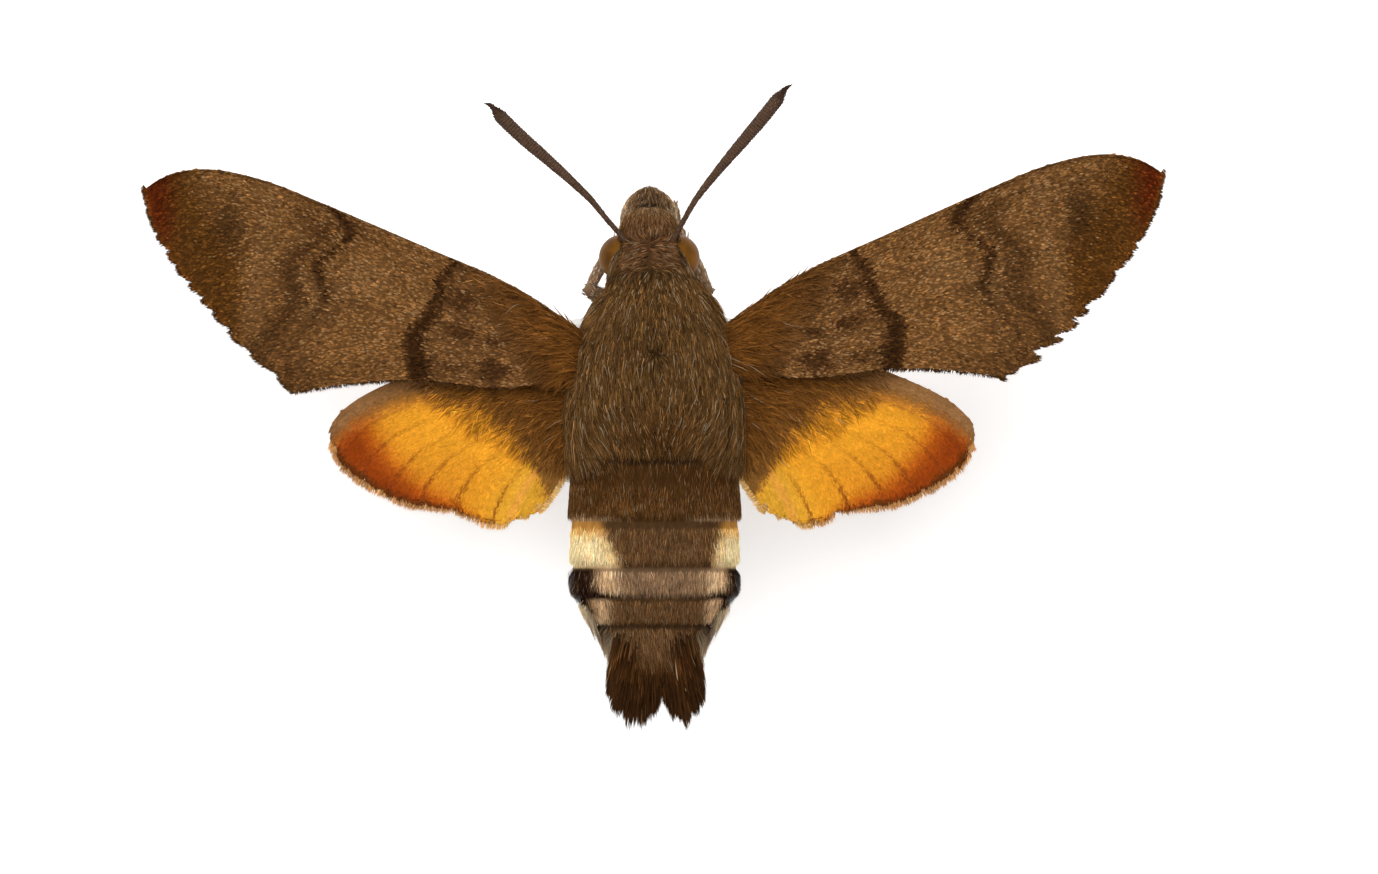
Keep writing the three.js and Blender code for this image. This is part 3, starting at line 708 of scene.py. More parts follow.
# %% The two lobes of the tail
LOBES = [
    {"name": "left", "middle": -1.0, "half": 1.25, "tip_y": -14.5, "lean": -0.25},
    {"name": "right", "middle": 1.35, "half": 0.98, "tip_y": -14.35, "lean": 0.0},
]
LOBE_HAIRS = 5200
LOBE_FALL = 1.1  # how much shorter a lobe is at its sides
LOBE_START = -11.7
LOBE_HEIGHT = 10.1
for number, lobe in enumerate(LOBES):
    across, tier = draw.uniform(-1, 1, (2, LOBE_HAIRS))
    reach = draw.uniform(0.03, 1.0, LOBE_HAIRS) ** 0.7
    clump = 0.3 * ripple(across * 16, reach * 0, 1.0, 31 + number) + lobe["lean"] * across
    edge = lobe["tip_y"] + LOBE_FALL * across ** 2 + clump
    tip_x = lobe["middle"] + lobe["half"] * across * (0.93 + 0.07 * reach) + draw.normal(0, 0.04, LOBE_HAIRS)
    tip_y = LOBE_START + reach * (edge - LOBE_START) + draw.normal(0, 0.1, LOBE_HAIRS)
    tip = np.stack([tip_x, tip_y, LOBE_HEIGHT + 0.36 * tier * (1.4 - reach)], axis=1)
    root_y = tip_y + draw.uniform(1.2, 1.9, LOBE_HAIRS)
    top, low = (np.interp(root_y, OUTLINE[::-1, 0], OUTLINE[::-1, k]) for k in (2, 3))
    start = np.stack([0.8 * tip_x, root_y, (top + low) / 2 + tier * ((top - low) / 2 - 0.22)], axis=1)
    middle = (start + tip) / 2 + np.stack([0 * tier, 0 * tier, 0.14 * tier], axis=1)
    over = np.stack([0 * tier, 0 * tier, np.sign(tier)], axis=1)
    side = unit(np.cross(over, tip - start))
    colours = blend_colours(body_colour(start - [0, 0.2, 0]), TAIL_BROWN, smooth(tip_y, -11.2, -12.5))
    colours = blend_colours(colours, (0.016, 0.007, 0.003), smooth(reach, 0.3, 0.9) * 0.55)
    hairs_between("tail_lobe_" + lobe["name"], start, middle, tip, side, over, 0.065,
                  vary(colours, 0.4, 0.01, STREAK), body_unwrap(start))

# %% The tufts on the flanks
TUFT_HAIRS = 420
SIDE_TUFTS = [
    # where the roots begin, where the tips end, how far they stand off, and the colours of front and rear
    (-7.1, -8.5, 0.12, (0.012, 0.007, 0.004), (0.16, 0.15, 0.15)),
    (-8.5, -10.05, 0.25, (0.55, 0.42, 0.26), (0.08, 0.05, 0.03)),
    (-9.7, -10.95, 0.2, (0.06, 0.032, 0.015), (0.4, 0.29, 0.18)),
]


def half_width(y):
    """Half the width of the body at a place along it."""
    return np.interp(y, OUTLINE[::-1, 0], OUTLINE[::-1, 1])


for number, (first_root, last_tip, stands, front_colour, rear_colour) in enumerate(SIDE_TUFTS):
    for side_name, sign in (("right", 1), ("left", -1)):
        back = draw.random(TUFT_HAIRS)
        height = draw.uniform(-1, 1, TUFT_HAIRS)
        root_y = first_root - 0.7 * back
        tip_y = root_y + (last_tip - first_root) * draw.uniform(0.45, 1.12, TUFT_HAIRS)
        root_x = sign * (half_width(root_y) - 0.45 - 0.3 * height ** 2)
        start = np.stack([root_x, root_y, 10.05 + 0.9 * height], axis=1)
        stand = stands * draw.uniform(-0.3, 1.5, TUFT_HAIRS) * (1 - 0.5 * height ** 2)
        tip = np.stack([sign * (half_width(tip_y) + stand - 0.1), tip_y, 9.95 + 0.9 * height], axis=1)
        over = np.tile([float(sign), 0, 0], (TUFT_HAIRS, 1))
        middle = (start + tip) / 2 + over * 0.12
        across = unit(np.cross(over, tip - start))
        colours = layered(front_colour, TUFT_HAIRS, [(rear_colour, back * 0.9)])
        hairs_between(f"side_tuft_{side_name}_{number + 1}", start, middle, tip, across, over, 0.06,
                      vary(colours, 0.25), body_unwrap(start))

# %% [markdown]
# ## The wings
# A wing is a patch between four edges: its front, its rear, its root and its outer margin. Two numbers find
# any point of it. One runs outward from the root and the other counts the veins from the front, so that
# veins are easy to raise and to darken. A flat grid is extruded once for thickness, then bent into that
# patch.

# %% Outlines of the wings in millimetres, each as a right wing
FOREWING = {
    "lead": [(3, 3.3), (6.5, 5.55), (10.5, 7.32), (14.8, 9.15), (17.5, 10.22), (19.9, 10.75), (21.7, 10.6),
             (23.12, 9.95)],
    "outer": [(23.12, 9.95), (22.85, 8.6), (22, 6.8), (20.4, 4.65), (18.6, 2.6), (16.45, 0.7)],
    "trail": [(3, 1.45), (4.8, 1.15), (7, 0.9), (10.7, 1.25), (13.2, 1.15), (16.45, 0.7)],
    # for each vein: its place on the outer margin, and how far out it begins
    "veins": [(0, 0), (0.035, 0.1), (0.11, 0), (0.2, 0.45), (0.33, 0.5), (0.47, 0.5), (0.61, 0.5), (0.75, 0),
              (0.88, 0.3), (0.96, 0), (1, 1)],
    "root_z": 11.9,
}
HINDWING = {
    "lead": [(3, 1.4), (6.4, 2.3), (9.5, 2), (11.8, 1.2), (13.5, 0.34), (14.5, -0.56), (14.86, -1.5)],
    "outer": [(14.86, -1.5), (14.45, -2.5), (13.3, -3.45), (11.5, -4.36), (9.4, -4.72), (7.5, -5.4),
              (6.35, -5.2), (5.4, -4.9)],
    "trail": [(3, -1.2), (3.9, -2.5), (4.5, -3.6), (5.4, -4.9)],
    "veins": [(0, 0), (0.06, 0.15), (0.16, 0), (0.27, 0.42), (0.38, 0.45), (0.48, 0.42), (0.59, 0),
              (0.72, 0.05), (0.86, 0.05), (1, 1)],
    "root_z": 10.9,
}
WING_LIFT = 0.055
MEMBRANE_HALF = 0.1
# nicks that wear has left in the outer margin: place from front to rear, half width, depth in millimetres
WORN = {
    "forewing_left": [(0.36, 0.012, 0.3), (0.43, 0.01, 0.25), (0.5, 0.012, 0.35), (0.56, 0.01, 0.3),
                      (0.62, 0.012, 0.3), (0.7, 0.015, 0.35), (0.8, 0.02, 0.3), (0.9, 0.02, 0.35)],
    "forewing_right": [(0.4, 0.01, 0.25), (0.52, 0.012, 0.3), (0.66, 0.02, 0.45), (0.72, 0.012, 0.55),
                       (0.79, 0.015, 0.7), (0.86, 0.02, 0.9), (0.93, 0.02, 0.55), (0.98, 0.03, 0.9)],
    "hindwing_left": [],
    "hindwing_right": [(0.62, 0.014, 0.35), (0.7, 0.01, 0.15)],
}
WINGS = {}
for side_name, side in (("right", 1), ("left", -1)):
    right = side > 0
    # how the right wings are turned in degrees and shifted in millimetres against the left ones
    WINGS["forewing_" + side_name] = {**FOREWING, "side": side, "turn": 1.0 if right else 0.0,
                                      "shift": (0.1, 0.32) if right else (0, 0)}
    WINGS["hindwing_" + side_name] = {**HINDWING, "side": side, "turn": 0.0,
                                      "shift": (-0.22, 0) if right else (0, 0)}


# %% Any point of a wing
def wing_plan(name, out, column):
    """The place on the flat plan of a right wing."""
    wing = WINGS[name]
    veins = np.array(wing["veins"], float)
    last = len(veins) - 1
    even = column / last
    back = even + (np.interp(column, np.arange(last + 1), veins[:, 0]) - even) * np.minimum(1, 1.6 * out)
    lead, trail, edge = along(wing["lead"], out), along(wing["trail"], out), along(wing["outer"], back)
    tip, heel = np.array(wing["lead"][-1]), np.array(wing["trail"][-1])
    back, out = back[:, None], out[:, None]
    plan = lead * (1 - back) + trail * back + out * (edge - tip * (1 - back) - heel * back)
    fringe = 0.16 if name.startswith("fore") else 0.32
    worn = fringe + 0.05 * ripple(back * 90, back * 0, 1.0, 4)
    for at, half, depth in WORN[name]:
        worn = worn + depth * np.exp(-(((back - at) / half) ** 2))
    inward = unit(np.array([3.0, 2.0]) - plan)
    return plan + inward * worn * out ** 14


def wing_point(name, out, column, face):
    """The point on the upper face (1) or the underside (-1) of a set wing."""
    wing = WINGS[name]
    plan = wing_plan(name, out, column)
    x, y = plan[:, 0], plan[:, 1]
    starts = np.array([start for _, start in wing["veins"]])
    nearest = np.clip(np.round(column).astype(int), 0, len(starts) - 1)
    on_vein = bump(column, nearest, 0.1) * smooth(out, starts[nearest] - 0.03, starts[nearest] + 0.03)
    pleat = 0.07 * np.cos(math.pi * column) * smooth(out, 0.1, 0.5) * smooth(out, 1.0, 0.9)
    half = MEMBRANE_HALF + 0.06 * on_vein * (1 - 0.5 * out)
    z = wing["root_z"] + WING_LIFT * (x - 3) + pleat + face * half
    turn = math.radians(wing["turn"])
    turned_x = x * math.cos(turn) - y * math.sin(turn) + wing["shift"][0]
    turned_y = x * math.sin(turn) + y * math.cos(turn) + wing["shift"][1]
    return np.stack([wing["side"] * turned_x, turned_y, z], axis=1)


def wing_frame(name, out, column, face):
    """Points of a wing with the outward direction, the rearward direction and the normal at each."""
    point = wing_point(name, out, column, face)
    ahead, behind = np.minimum(out + 0.02, 1), np.maximum(out - 0.04, 0)
    outward = wing_point(name, ahead, column, face) - wing_point(name, behind, column, face)
    outward = outward / (ahead - behind)[:, None]
    step = np.where(column > 1, -0.04, 0.04)
    rearward = (wing_point(name, out, column + step, face) - point) / step[:, None]
    area = np.linalg.norm(np.cross(outward, rearward), axis=1)
    normal = unit(np.cross(outward, rearward))
    normal = normal * np.sign(normal[:, 2:3]) * np.asarray(face, float).reshape(-1, 1)
    return point, unit(outward), unit(rearward), normal, area


def wing_unwrap(name, out, column, face):
    """The upper face in one half of the map and the underside in the other."""
    share = column / (len(WINGS[name]["veins"]) - 1)
    return np.stack([0.02 + 0.96 * out, 0.02 + 0.46 * share + 0.5 * (np.asarray(face) < 0)], axis=1)


# %% [markdown]
# ## Markings of the wings
# The forewing is taupe, with a dark band at a third of its length, a thin wavy line at two thirds, an olive
# brown outer part and a rusty tip. The hindwing is orange yellow, with a red brown border and fine dark
# veins.

# %% The colour of any point of a wing
# the outer edge of the forewing's dark band and its wavy line: y and x in millimetres
BAND_EDGE = np.array([(1.59, 10.99), (2.42, 11.17), (3.25, 11.26), (3.98, 10.53), (4.81, 9.97), (5.74, 9.70),
                      (6.47, 9.05)])
LINE = np.array([(2.42, 16.43), (3.15, 16.06), (3.98, 15.32), (4.81, 14.68), (5.74, 14.95), (6.38, 15.14),
                 (7.03, 14.4), (7.49, 13.66), (8.04, 13.57), (8.69, 14.2)])
# the edge between the hindwing's brown front and its yellow: x and y in millimetres
BROWN_EDGE = np.array([(4.6, -4.2), (4.9, -3.6), (5.7, -1.7), (6.5, -0.43), (7.66, 0.49), (10.6, 0.49),
                       (11.8, 0.1), (13.5, -0.6), (14.9, -1.7)])
COSTA = (0.26, 0.13, 0.05)  # the pale front edge of both wings


def forewing_colour(plan, out, column, fuzz):
    """Linear colour of the forewing's upper side."""
    x = plan[:, 0] + fuzz * draw.normal(0, 1, len(plan))
    y = plan[:, 1] + fuzz * draw.normal(0, 1, len(plan))
    band, line = (np.interp(y, rows[:, 0], rows[:, 1]) for rows in (BAND_EDGE, LINE))
    streak = smooth(ripple(0.4 * x - 0.3 * y, 1.2 * y, 0.3, 5), 0.05, 0.6)
    streak = streak * smooth(x, band - 0.4, band - 1.2)
    wide = np.interp(y, [1.6, 3.2, 4.8, 6.5], [1.0, 0.95, 0.65, 0.5])
    dark = smooth(x, band + 0.1, band - 0.08) * smooth(x, band - wide - 0.3, band - wide + 0.3)
    strong = 0.55 + 0.43 * smooth(y, 3.8, 5.2)
    pale = np.interp(y, [3.8, 6.5, 9.33], [18.1, 17.7, 17.35])
    olive = smooth(out, 0.70, 0.86) * smooth(x, pale + 0.1, pale + 1.1)
    patch = np.exp(-(((x - 19.1) / 0.7) ** 2 + ((y - 8.25) / 1.3) ** 2))
    apex = smooth(x, 20.9, 22.4) * smooth(y, 6.2, 8.4)
    dot = np.exp(-(((x - 11.45) / 0.13) ** 2 + ((y - 6.29) / 0.17) ** 2))
    return layered((0.138, 0.061, 0.018), len(x), [
        ((0.19, 0.095, 0.034), 0.4 * smooth(ripple(x, y, 1.1, 21), 0.1, 0.9)),
        ((0.118, 0.052, 0.016), smooth(x, band - 0.1, band - 0.7)),
        ((0.028, 0.010, 0.003), 0.7 * streak),
        ((0.022, 0.008, 0.002), 0.93 * dark),
        ((0.085, 0.038, 0.012), 0.55 * bump(x, line - 0.8, 0.4) * smooth(y, 7.5, 5.5)),
        ((0.020, 0.007, 0.002), strong * bump(x, line, 0.26 + 0.16 * smooth(y, 7.3, 8.2))),
        ((0.050, 0.021, 0.006), 0.85 * bump(x, line + 1.35, 0.8) * smooth(y, 10.0, 7.6)),
        ((0.135, 0.064, 0.022), 0.55 * bump(x, pale, 0.4) * smooth(y, 2.2, 4)),
        ((0.070, 0.026, 0.004), 0.94 * olive),
        ((0.026, 0.011, 0.003), 0.75 * patch),
        ((0.052, 0.022, 0.006), 0.4 * smooth(y, 2.4, 1.2) * smooth(x, 12, 14) * (y < 2.6)),
        ((0.068, 0.010, 0.0015), 0.9 * apex),
        ((0.14, 0.042, 0.006), 0.8 * smooth(out, 0.965, 0.99) * smooth(y, 3.0, 6.5)),
        (COSTA, 0.7 * smooth(column, 0.22, 0.08)),
        ((0.02, 0.008, 0.003), 0.95 * dot),
    ])


def hindwing_colour(plan, out, column, fuzz):
    """Linear colour of the hindwing's upper side."""
    x = plan[:, 0] + fuzz * draw.normal(0, 1, len(plan))
    y = plan[:, 1] + fuzz * draw.normal(0, 1, len(plan))
    column = column + fuzz * 0.3 * draw.normal(0, 1, len(plan))
    lead = np.array(HINDWING["lead"])
    front = np.interp(x, lead[:, 0], lead[:, 1])
    start = np.interp(column, [0, 2, 4, 6, 7.3], [0.49, 0.57, 0.68, 0.81, 0.94])
    nearest = np.round(column)
    vein = bump(column, nearest, 0.045) * (nearest > 0.5) * (nearest < 7.5)
    dark_from = np.interp(column, [0, 3, 6, 8], [0.86, 0.92, 0.955, 0.98])
    dark = smooth(out, dark_from - 0.03, dark_from + 0.03) * smooth(column, 7.9, 6.6)
    hem = np.interp(x, BROWN_EDGE[:, 0], BROWN_EDGE[:, 1])
    brown = smooth(y - hem, -0.3, 0.4)
    return layered((0.66, 0.280, 0.018), len(x), [
        ((0.55, 0.285, 0.025), 0.8 * smooth(column, 6.4, 7.6)),
        ((0.62, 0.25, 0.05), 0.6 * bump(column, 7.7, 0.2)),
        ((0.33, 0.06, 0.004), 0.35 * smooth(out, 0.45, 0.85) * smooth(column, 7, 5.5)),
        ((0.38, 0.075, 0.006), 0.9 * smooth(out, start, start + 0.15)),
        ((0.20, 0.028, 0.003), 0.85 * smooth(out, start + 0.08, start + 0.22)),
        ((0.18, 0.035, 0.005), vein * (0.12 + 0.7 * smooth(out, 0.45, 0.85))),
        ((0.075, 0.022, 0.004), 0.9 * dark),
        ((0.36, 0.12, 0.02), 0.7 * bump(y - hem, 0.0, 0.35)),
        ((0.165, 0.070, 0.018), 0.93 * brown),
        (COSTA, 0.8 * brown * smooth(x, 7.5, 10) * smooth(front - y, 1.0, 0.3)),
    ])


def underside_colour(name, plan, out, fuzz):
    """Linear colour of a wing's underside, after the living species."""
    x = plan[:, 0] + fuzz * draw.normal(0, 1, len(plan))
    if name.startswith("hind"):
        layers = [((0.70, 0.42, 0.12), smooth(x, 10.5, 6.5)), ((0.16, 0.07, 0.025), smooth(out, 0.88, 0.98))]
    else:
        layers = [((0.17, 0.085, 0.038), smooth(x, 12, 6)), ((0.11, 0.055, 0.024), smooth(out, 0.78, 0.95))]
    return layered((0.25, 0.10, 0.03), len(x), layers)


def wing_colour(name, out, column, face, fuzz=0.0):
    """Colour of a wing at places on its upper face or its underside."""
    plan = wing_plan(name, out, column)
    top = (forewing_colour if name.startswith("fore") else hindwing_colour)(plan, out, column, fuzz)
    low = underside_colour(name, plan, out, fuzz)
    return np.where(np.asarray(face).reshape(-1, 1) > 0, top, low)


# %% The membrane of each wing
ROWS, COLUMNS_EACH = 72, 8
for name in WINGS:
    last = len(WINGS[name]["veins"]) - 1
    bm = bmesh.new()
    bmesh.ops.create_grid(bm, x_segments=ROWS, y_segments=COLUMNS_EACH * last, size=0.5)
    raised = bmesh.ops.extrude_face_region(bm, geom=bm.faces[:])["geom"]
    bmesh.ops.translate(bm, verts=[g for g in raised if isinstance(g, bmesh.types.BMVert)], vec=(0, 0, 1))
    flat = np.array([v.co for v in bm.verts])
    out, column = flat[:, 0] + 0.5, (0.5 - flat[:, 1]) * last
    face = np.where(flat[:, 2] > 0.5, 1, -1)
    for v, co in zip(bm.verts, wing_point(name, out, column, face)):
        v.co = co
    bmesh.ops.recalc_face_normals(bm, faces=bm.faces)
    membrane = piece(name + "_membrane", bm, MEMBRANE, (name,))
    # The forewing's membrane is painted at 0.7 of its scales' colour, as painted shade in the gaps between
    # scales; the hindwing's is nearly at their colour.
    paint(membrane, (0.7 if name.startswith("fore") else 0.97) * wing_colour(name, out, column, face))
    print(name, len(membrane.data.polygons), "faces")

# %% [markdown]
# ## Scales and hair of the wings
# Scales overlap like tiles and point outward from the root. They are thickest on the upper side. Near the
# body they give way to long soft hair, and a fringe of narrow scales lines the outer and the rear margin.

# %% Scatter over a wing, scales, root hair and fringe
def wing_scatter(name, count, face, low=0.02, high=0.985):
    """Random places on one face of a wing, spread evenly over its area."""
    last = len(WINGS[name]["veins"]) - 1
    out, column = draw.uniform(low, high, 3 * count), draw.uniform(0.03, last - 0.03, 3 * count)
    area = wing_frame(name, out, column, face)[-1]
    pick = draw.choice(3 * count, count, replace=False, p=area / area.sum())
    return out[pick], column[pick]


# how many scales lie on the upper face and on the underside, and how long and wide each is
SCALES = {"forewing": (15500, 5000, 0.27, 0.09), "hindwing": (9500, 3200, 0.26, 0.09)}
for name, wing in WINGS.items():
    kind = name.split("_")[0]
    upper, under, long, wide = SCALES[kind]
    for face, count, where in ((1, upper, "upper"), (-1, under, "under")):
        out, column = wing_scatter(name, count, face)
        point, outward, rearward, normal, _ = wing_frame(name, out, column, face)
        lie = unit(outward + rearward * draw.normal(0.03, 0.12, (count, 1)))
        grow = 1.0 if face > 0 else 1.3
        colours = wing_colour(name, out, column, face, 0.1)
        if kind == "forewing":
            # a share of the forewing's upper scales turns pale on its darker parts: painted glints
            glint_speckle = 0.1 * (face > 0) * smooth(out, 0.95, 0.6) * smooth(colours[:, 0], 0.04, 0.1)
            colours = vary(colours, 0.4, glint_speckle, (0.31, 0.18, 0.08))
        else:
            colours = vary(colours, 0.08)
        length = grow * long * draw.uniform(0.75, 1.2, count) * (1 - 0.25 * smooth(out, 0.9, 1))
        grow_scales(f"{name}_scales_{where}", point, normal, lie, length, grow * wide,
                    draw.uniform(0.02, 0.1, count), colours, wing_unwrap(name, out, column, face))

# %% Long hair on the wing roots
for name, wing in WINGS.items():
    kind = name.split("_")[0]
    reach = 0.2 if kind == "forewing" else 0.42
    count = 2400 if kind == "forewing" else 2600
    out, column = wing_scatter(name, count, 1, 0.0, reach)
    point, outward, rearward, normal, _ = wing_frame(name, np.maximum(out, 0.011), column, 1)
    lie = unit(outward + rearward * draw.normal(0.35, 0.25, (count, 1)))
    own = wing_colour(name, out, column, 1, 0.3)
    colours = layered((0.138, 0.052, 0.010), count, [(own, 0.75 * smooth(out, 0.3 * reach, reach))])
    length = 1.5 * draw.uniform(0.6, 1.1, count) * (1 - 0.4 * out / reach)
    # a few root hairs turn pale, partly as painted glints
    grow_hairs(name + "_root_hair", point, normal, lie, length, 0.055, draw.uniform(0.03, 0.16, count),
               vary(colours, 0.35, 0.006, PALE_FROST_AND_GLINT), wing_unwrap(name, out, column, 1))

# %% Fringes
for name, wing in WINGS.items():
    kind = name.split("_")[0]
    last = len(wing["veins"]) - 1
    count = 1700 if kind == "forewing" else 2300
    rear = int(0.25 * count)
    out = np.concatenate([np.full(count - rear, 0.995), draw.uniform(0.45, 0.99, rear)])
    column = np.concatenate([draw.uniform(0.0, last, count - rear), np.full(rear, last - 0.05)])
    point, outward, rearward, normal, _ = wing_frame(name, out, column, 1)
    at_rear = (np.arange(count) >= count - rear)[:, None]
    margin, inner = (wing_point(name, np.full(count, share), column, 1) for share in (1.0, 0.8))
    outward = np.where(at_rear, outward, unit(margin - inner))
    lie = np.where(at_rear, 0.5 * outward + rearward, outward)
    lie = unit(lie + rearward * draw.normal(0.05, 0.12, (count, 1)))
    point = point - normal * MEMBRANE_HALF * draw.uniform(0, 2, (count, 1))
    if kind == "forewing":
        tips, tipped = ((0.075, 0.034, 0.011), [((0.12, 0.035, 0.008), 0.8 * smooth(column, 3, 0.5))])
        length = 0.27 * draw.uniform(0.5, 1.1, count)
    else:
        tips, tipped = ((0.50, 0.25, 0.09), [((0.78, 0.46, 0.16), smooth(column, 6.4, 7.6))])
        length = 0.46 * draw.uniform(0.65, 1.1, count)
    length = length * np.where(at_rear[:, 0], 0.8, 1)
    grow_hairs(name + "_fringe", point, normal, lie, length, 0.06, draw.uniform(-0.1, 0.1, count),
               vary(layered(tips, count, tipped), 0.3), wing_unwrap(name, out, column, 1), True)

# %% [markdown]
# ## Feelers, eyes, legs and tongue
# A feeler thickens into a club and ends in a small hook. It is ringed, so its width ripples along its
# length. An eye is a ball of tiny facets. A leg is a thigh, a shin with two spurs and a foot of five joints
# with two claws. The tongue is rolled up under the head in a flat spiral.

# %% Feelers
FEELERS = {
    "right": [(0.85, 7.6, 11.6), (1.33, 8.47, 11.9), (1.85, 9.38, 12.1), (2.53, 10.28, 12.25),
              (3.28, 11.19, 12.4), (4.05, 12.09, 12.5), (4.81, 12.99, 12.55), (5.54, 13.9, 12.6),
              (5.92, 14.4, 12.6), (6.24, 14.6, 12.55)],
    "left": [(-1.35, 7.6, 11.6), (-2.12, 8.47, 11.9), (-2.87, 9.38, 12.1), (-3.8, 10.28, 12.25),
             (-4.81, 11.19, 12.35), (-5.85, 12.09, 12.45), (-6.8, 12.99, 12.5), (-7.2, 13.45, 12.55),
             (-7.45, 13.68, 12.55), (-7.72, 13.74, 12.5)],
}
FEELER_RINGS = 64
FEELER_STEPS = 320
FEELER_SIDES = 12


def even_line(points, count=60):
    """The same smooth line with its points evenly spaced, so that a share of it is a share of its length."""
    fine = along(points, np.linspace(0, 1, 600))
    far = np.concatenate([[0], np.cumsum(np.linalg.norm(np.diff(fine, axis=0), axis=1))])
    where = np.linspace(0, far[-1], count)
    return np.stack([np.interp(where, far, fine[:, k]) for k in range(3)], axis=1)


def around_line(line, width, t, angle, sunk):
    """Roots on a tube at shares t and angles round it, with the way out and the way along at each."""
    ahead = unit(along(line, t + 0.01) - along(line, t - 0.01))
    across = unit(np.cross(np.array([[0, 0, 1.0]]), ahead))
    normal = np.cos(angle)[:, None] * across + np.sin(angle)[:, None] * np.cross(ahead, across)
    return along(line, t) + normal * np.array([width(s) for s in t])[:, None] * sunk, normal, ahead


def tube_unwrap(t, angle):
    """A tube slit along its length and rolled out flat."""
    return np.stack([t * 0.98 + 0.01, angle / 6.4 + 0.01], axis=1)


CHITIN = finish("feeler and leg skin", rough=0.6, specular=0.04, mottle=(60, 0.2), relief=(150, 0.3))


def feeler_width(t):
    """Slender at the root, widest at four fifths and pointed at the tip, with a ripple for each ring."""
    t = float(t)
    club = 0.22 + 0.38 * smooth(t, 0.05, 0.82)
    tip = (0.7 * smooth(t, 0.88, 0.96) + 0.3 * smooth(t, 0.96, 1.0)) * (club - 0.04)
    return (club - tip) * (1 + 0.05 * math.cos(2 * math.pi * FEELER_RINGS * t))


def feeler_colour(t, around):
    """Brown rings, with a painted highlight on the upper side of each ring."""
    ring = 0.5 + 0.5 * np.cos(2 * math.pi * FEELER_RINGS * t)
    return layered((0.054, 0.027, 0.015), len(t), [
        # painted highlight on the top of each ring's swell
        ((0.120, 0.080, 0.055), 0.45 * ring * smooth(around, -0.4, 0.9)),
        ((0.035, 0.018, 0.012), smooth(t, 0.85, 0.95)),
    ])


for side_name, line in FEELERS.items():
    line = even_line(line)
    bm = bent_tube(line, feeler_width, sides=FEELER_SIDES, steps=FEELER_STEPS)
    tube = piece("antenna_" + side_name + "_stem", bm, CHITIN, ("antenna_" + side_name,))
    shares = np.repeat(np.linspace(0, 1, FEELER_STEPS + 1), FEELER_SIDES)
    height = (places(tube)[:, 2] - along(line, shares)[:, 2]) / 0.2
    paint(tube, feeler_colour(shares, height))
    count = 1100
    t = draw.uniform(0.01, 0.95, count)
    angle = draw.uniform(0, 2 * math.pi, count)
    root, normal, ahead = around_line(line, feeler_width, t, angle, 0.49)
    colours = vary(feeler_colour(t, np.sin(angle)), 0.35)
    grow_scales("antenna_" + side_name + "_scales", root, normal, ahead, 0.13, 0.06, 0.12, colours,
                tube_unwrap(t, angle))

# %% Eyes
EYE = finish("eye", (0.135, 0.052, 0.005), rough=0.4, specular=0.04, mottle=(8, 0.5), relief=(180, 0.35),
             cells=True)
for side_name, side in (("right", 1), ("left", -1)):
    bm = bmesh.new()
    bmesh.ops.create_uvsphere(bm, u_segments=48, v_segments=32, radius=1)
    bmesh.ops.scale(bm, verts=bm.verts, vec=EYE_RADII * 0.985)
    bmesh.ops.translate(bm, verts=bm.verts, vec=EYE_MIDDLE * [side, 1, 1] + [HEAD_SHIFT, 0, 0])
    piece("eye_ball_" + side_name, bm, EYE, ("eye_" + side_name,))

# %% Tongue, rolled in a flat spiral
TONGUE = finish("tongue", (0.07, 0.03, 0.012), rough=0.35, coat=0.2, mottle=(60, 0.3), relief=(250, 0.4))
COIL_MIDDLE = (HEAD_SHIFT, 8.1, 8.35)
COIL_TURNS = 3.25
spiral = []
for k in range(90):
    share = k / 89
    turn = math.pi / 2 + 2 * math.pi * COIL_TURNS * share
    radius = 1.0 - 0.8 * share
    forward, up = radius * math.cos(turn), radius * math.sin(turn)
    spiral.append((COIL_MIDDLE[0], COIL_MIDDLE[1] + forward, COIL_MIDDLE[2] + up))
tongue_width = lambda t: 0.34 - 0.2 * float(t)
tongue_thickness = lambda t: 0.26 - 0.16 * float(t)
bm = bent_tube(spiral, tongue_width, tongue_thickness, sides=10, steps=260, up=(1, 0, 0))
piece("tongue_coil", bm, TONGUE, ("proboscis",))

# %% Legs
LEGS = {
    # thigh, shin and foot of a right leg, each from its upper end
    "fore": ([(1.3, 4.2, 8.0), (2.0, 4.75, 7.9), (2.95, 5.35, 8.6)],
             [(2.95, 5.35, 8.6), (2.5, 6.3, 7.7), (1.85, 7.2, 7.1)],
             [(1.85, 7.2, 7.1), (1.5, 8.1, 6.75), (1.15, 9.2, 6.7)]),
    "middle": ([(1.2, 1.1, 7.2), (2.2, 1.5, 6.35), (3.5, 1.7, 6.1)],
               [(3.5, 1.7, 6.1), (3.3, 0, 5.8), (2.9, -1.9, 5.9)],
               [(2.9, -1.9, 5.9), (2.6, -3.5, 5.95), (2.2, -5.2, 6.2)]),
    "hind": ([(1.05, -1.1, 7.2), (1.7, -2.2, 6.5), (2.1, -3.6, 6.1)],
             [(2.1, -3.6, 6.1), (1.6, -5.6, 5.8), (1.15, -7.4, 5.95)],
             [(1.15, -7.4, 5.95), (0.9, -8.8, 6.1), (0.75, -10.3, 6.5)]),
}
RIGHT_FORELEG_TUCK = 0.8  # share of its reach to the side, as it is folded closer than the left one


def bead(at, radius):
    """A small ball that rounds off a joint."""
    bm = bmesh.new()
    bmesh.ops.create_icosphere(bm, subdivisions=2, radius=radius)
    bmesh.ops.translate(bm, verts=bm.verts, vec=at)
    return bm


def thigh_width(t):
    """Stoutest in its middle."""
    return 0.45 + 0.42 * math.sin(math.pi * (0.15 + 0.75 * float(t)))


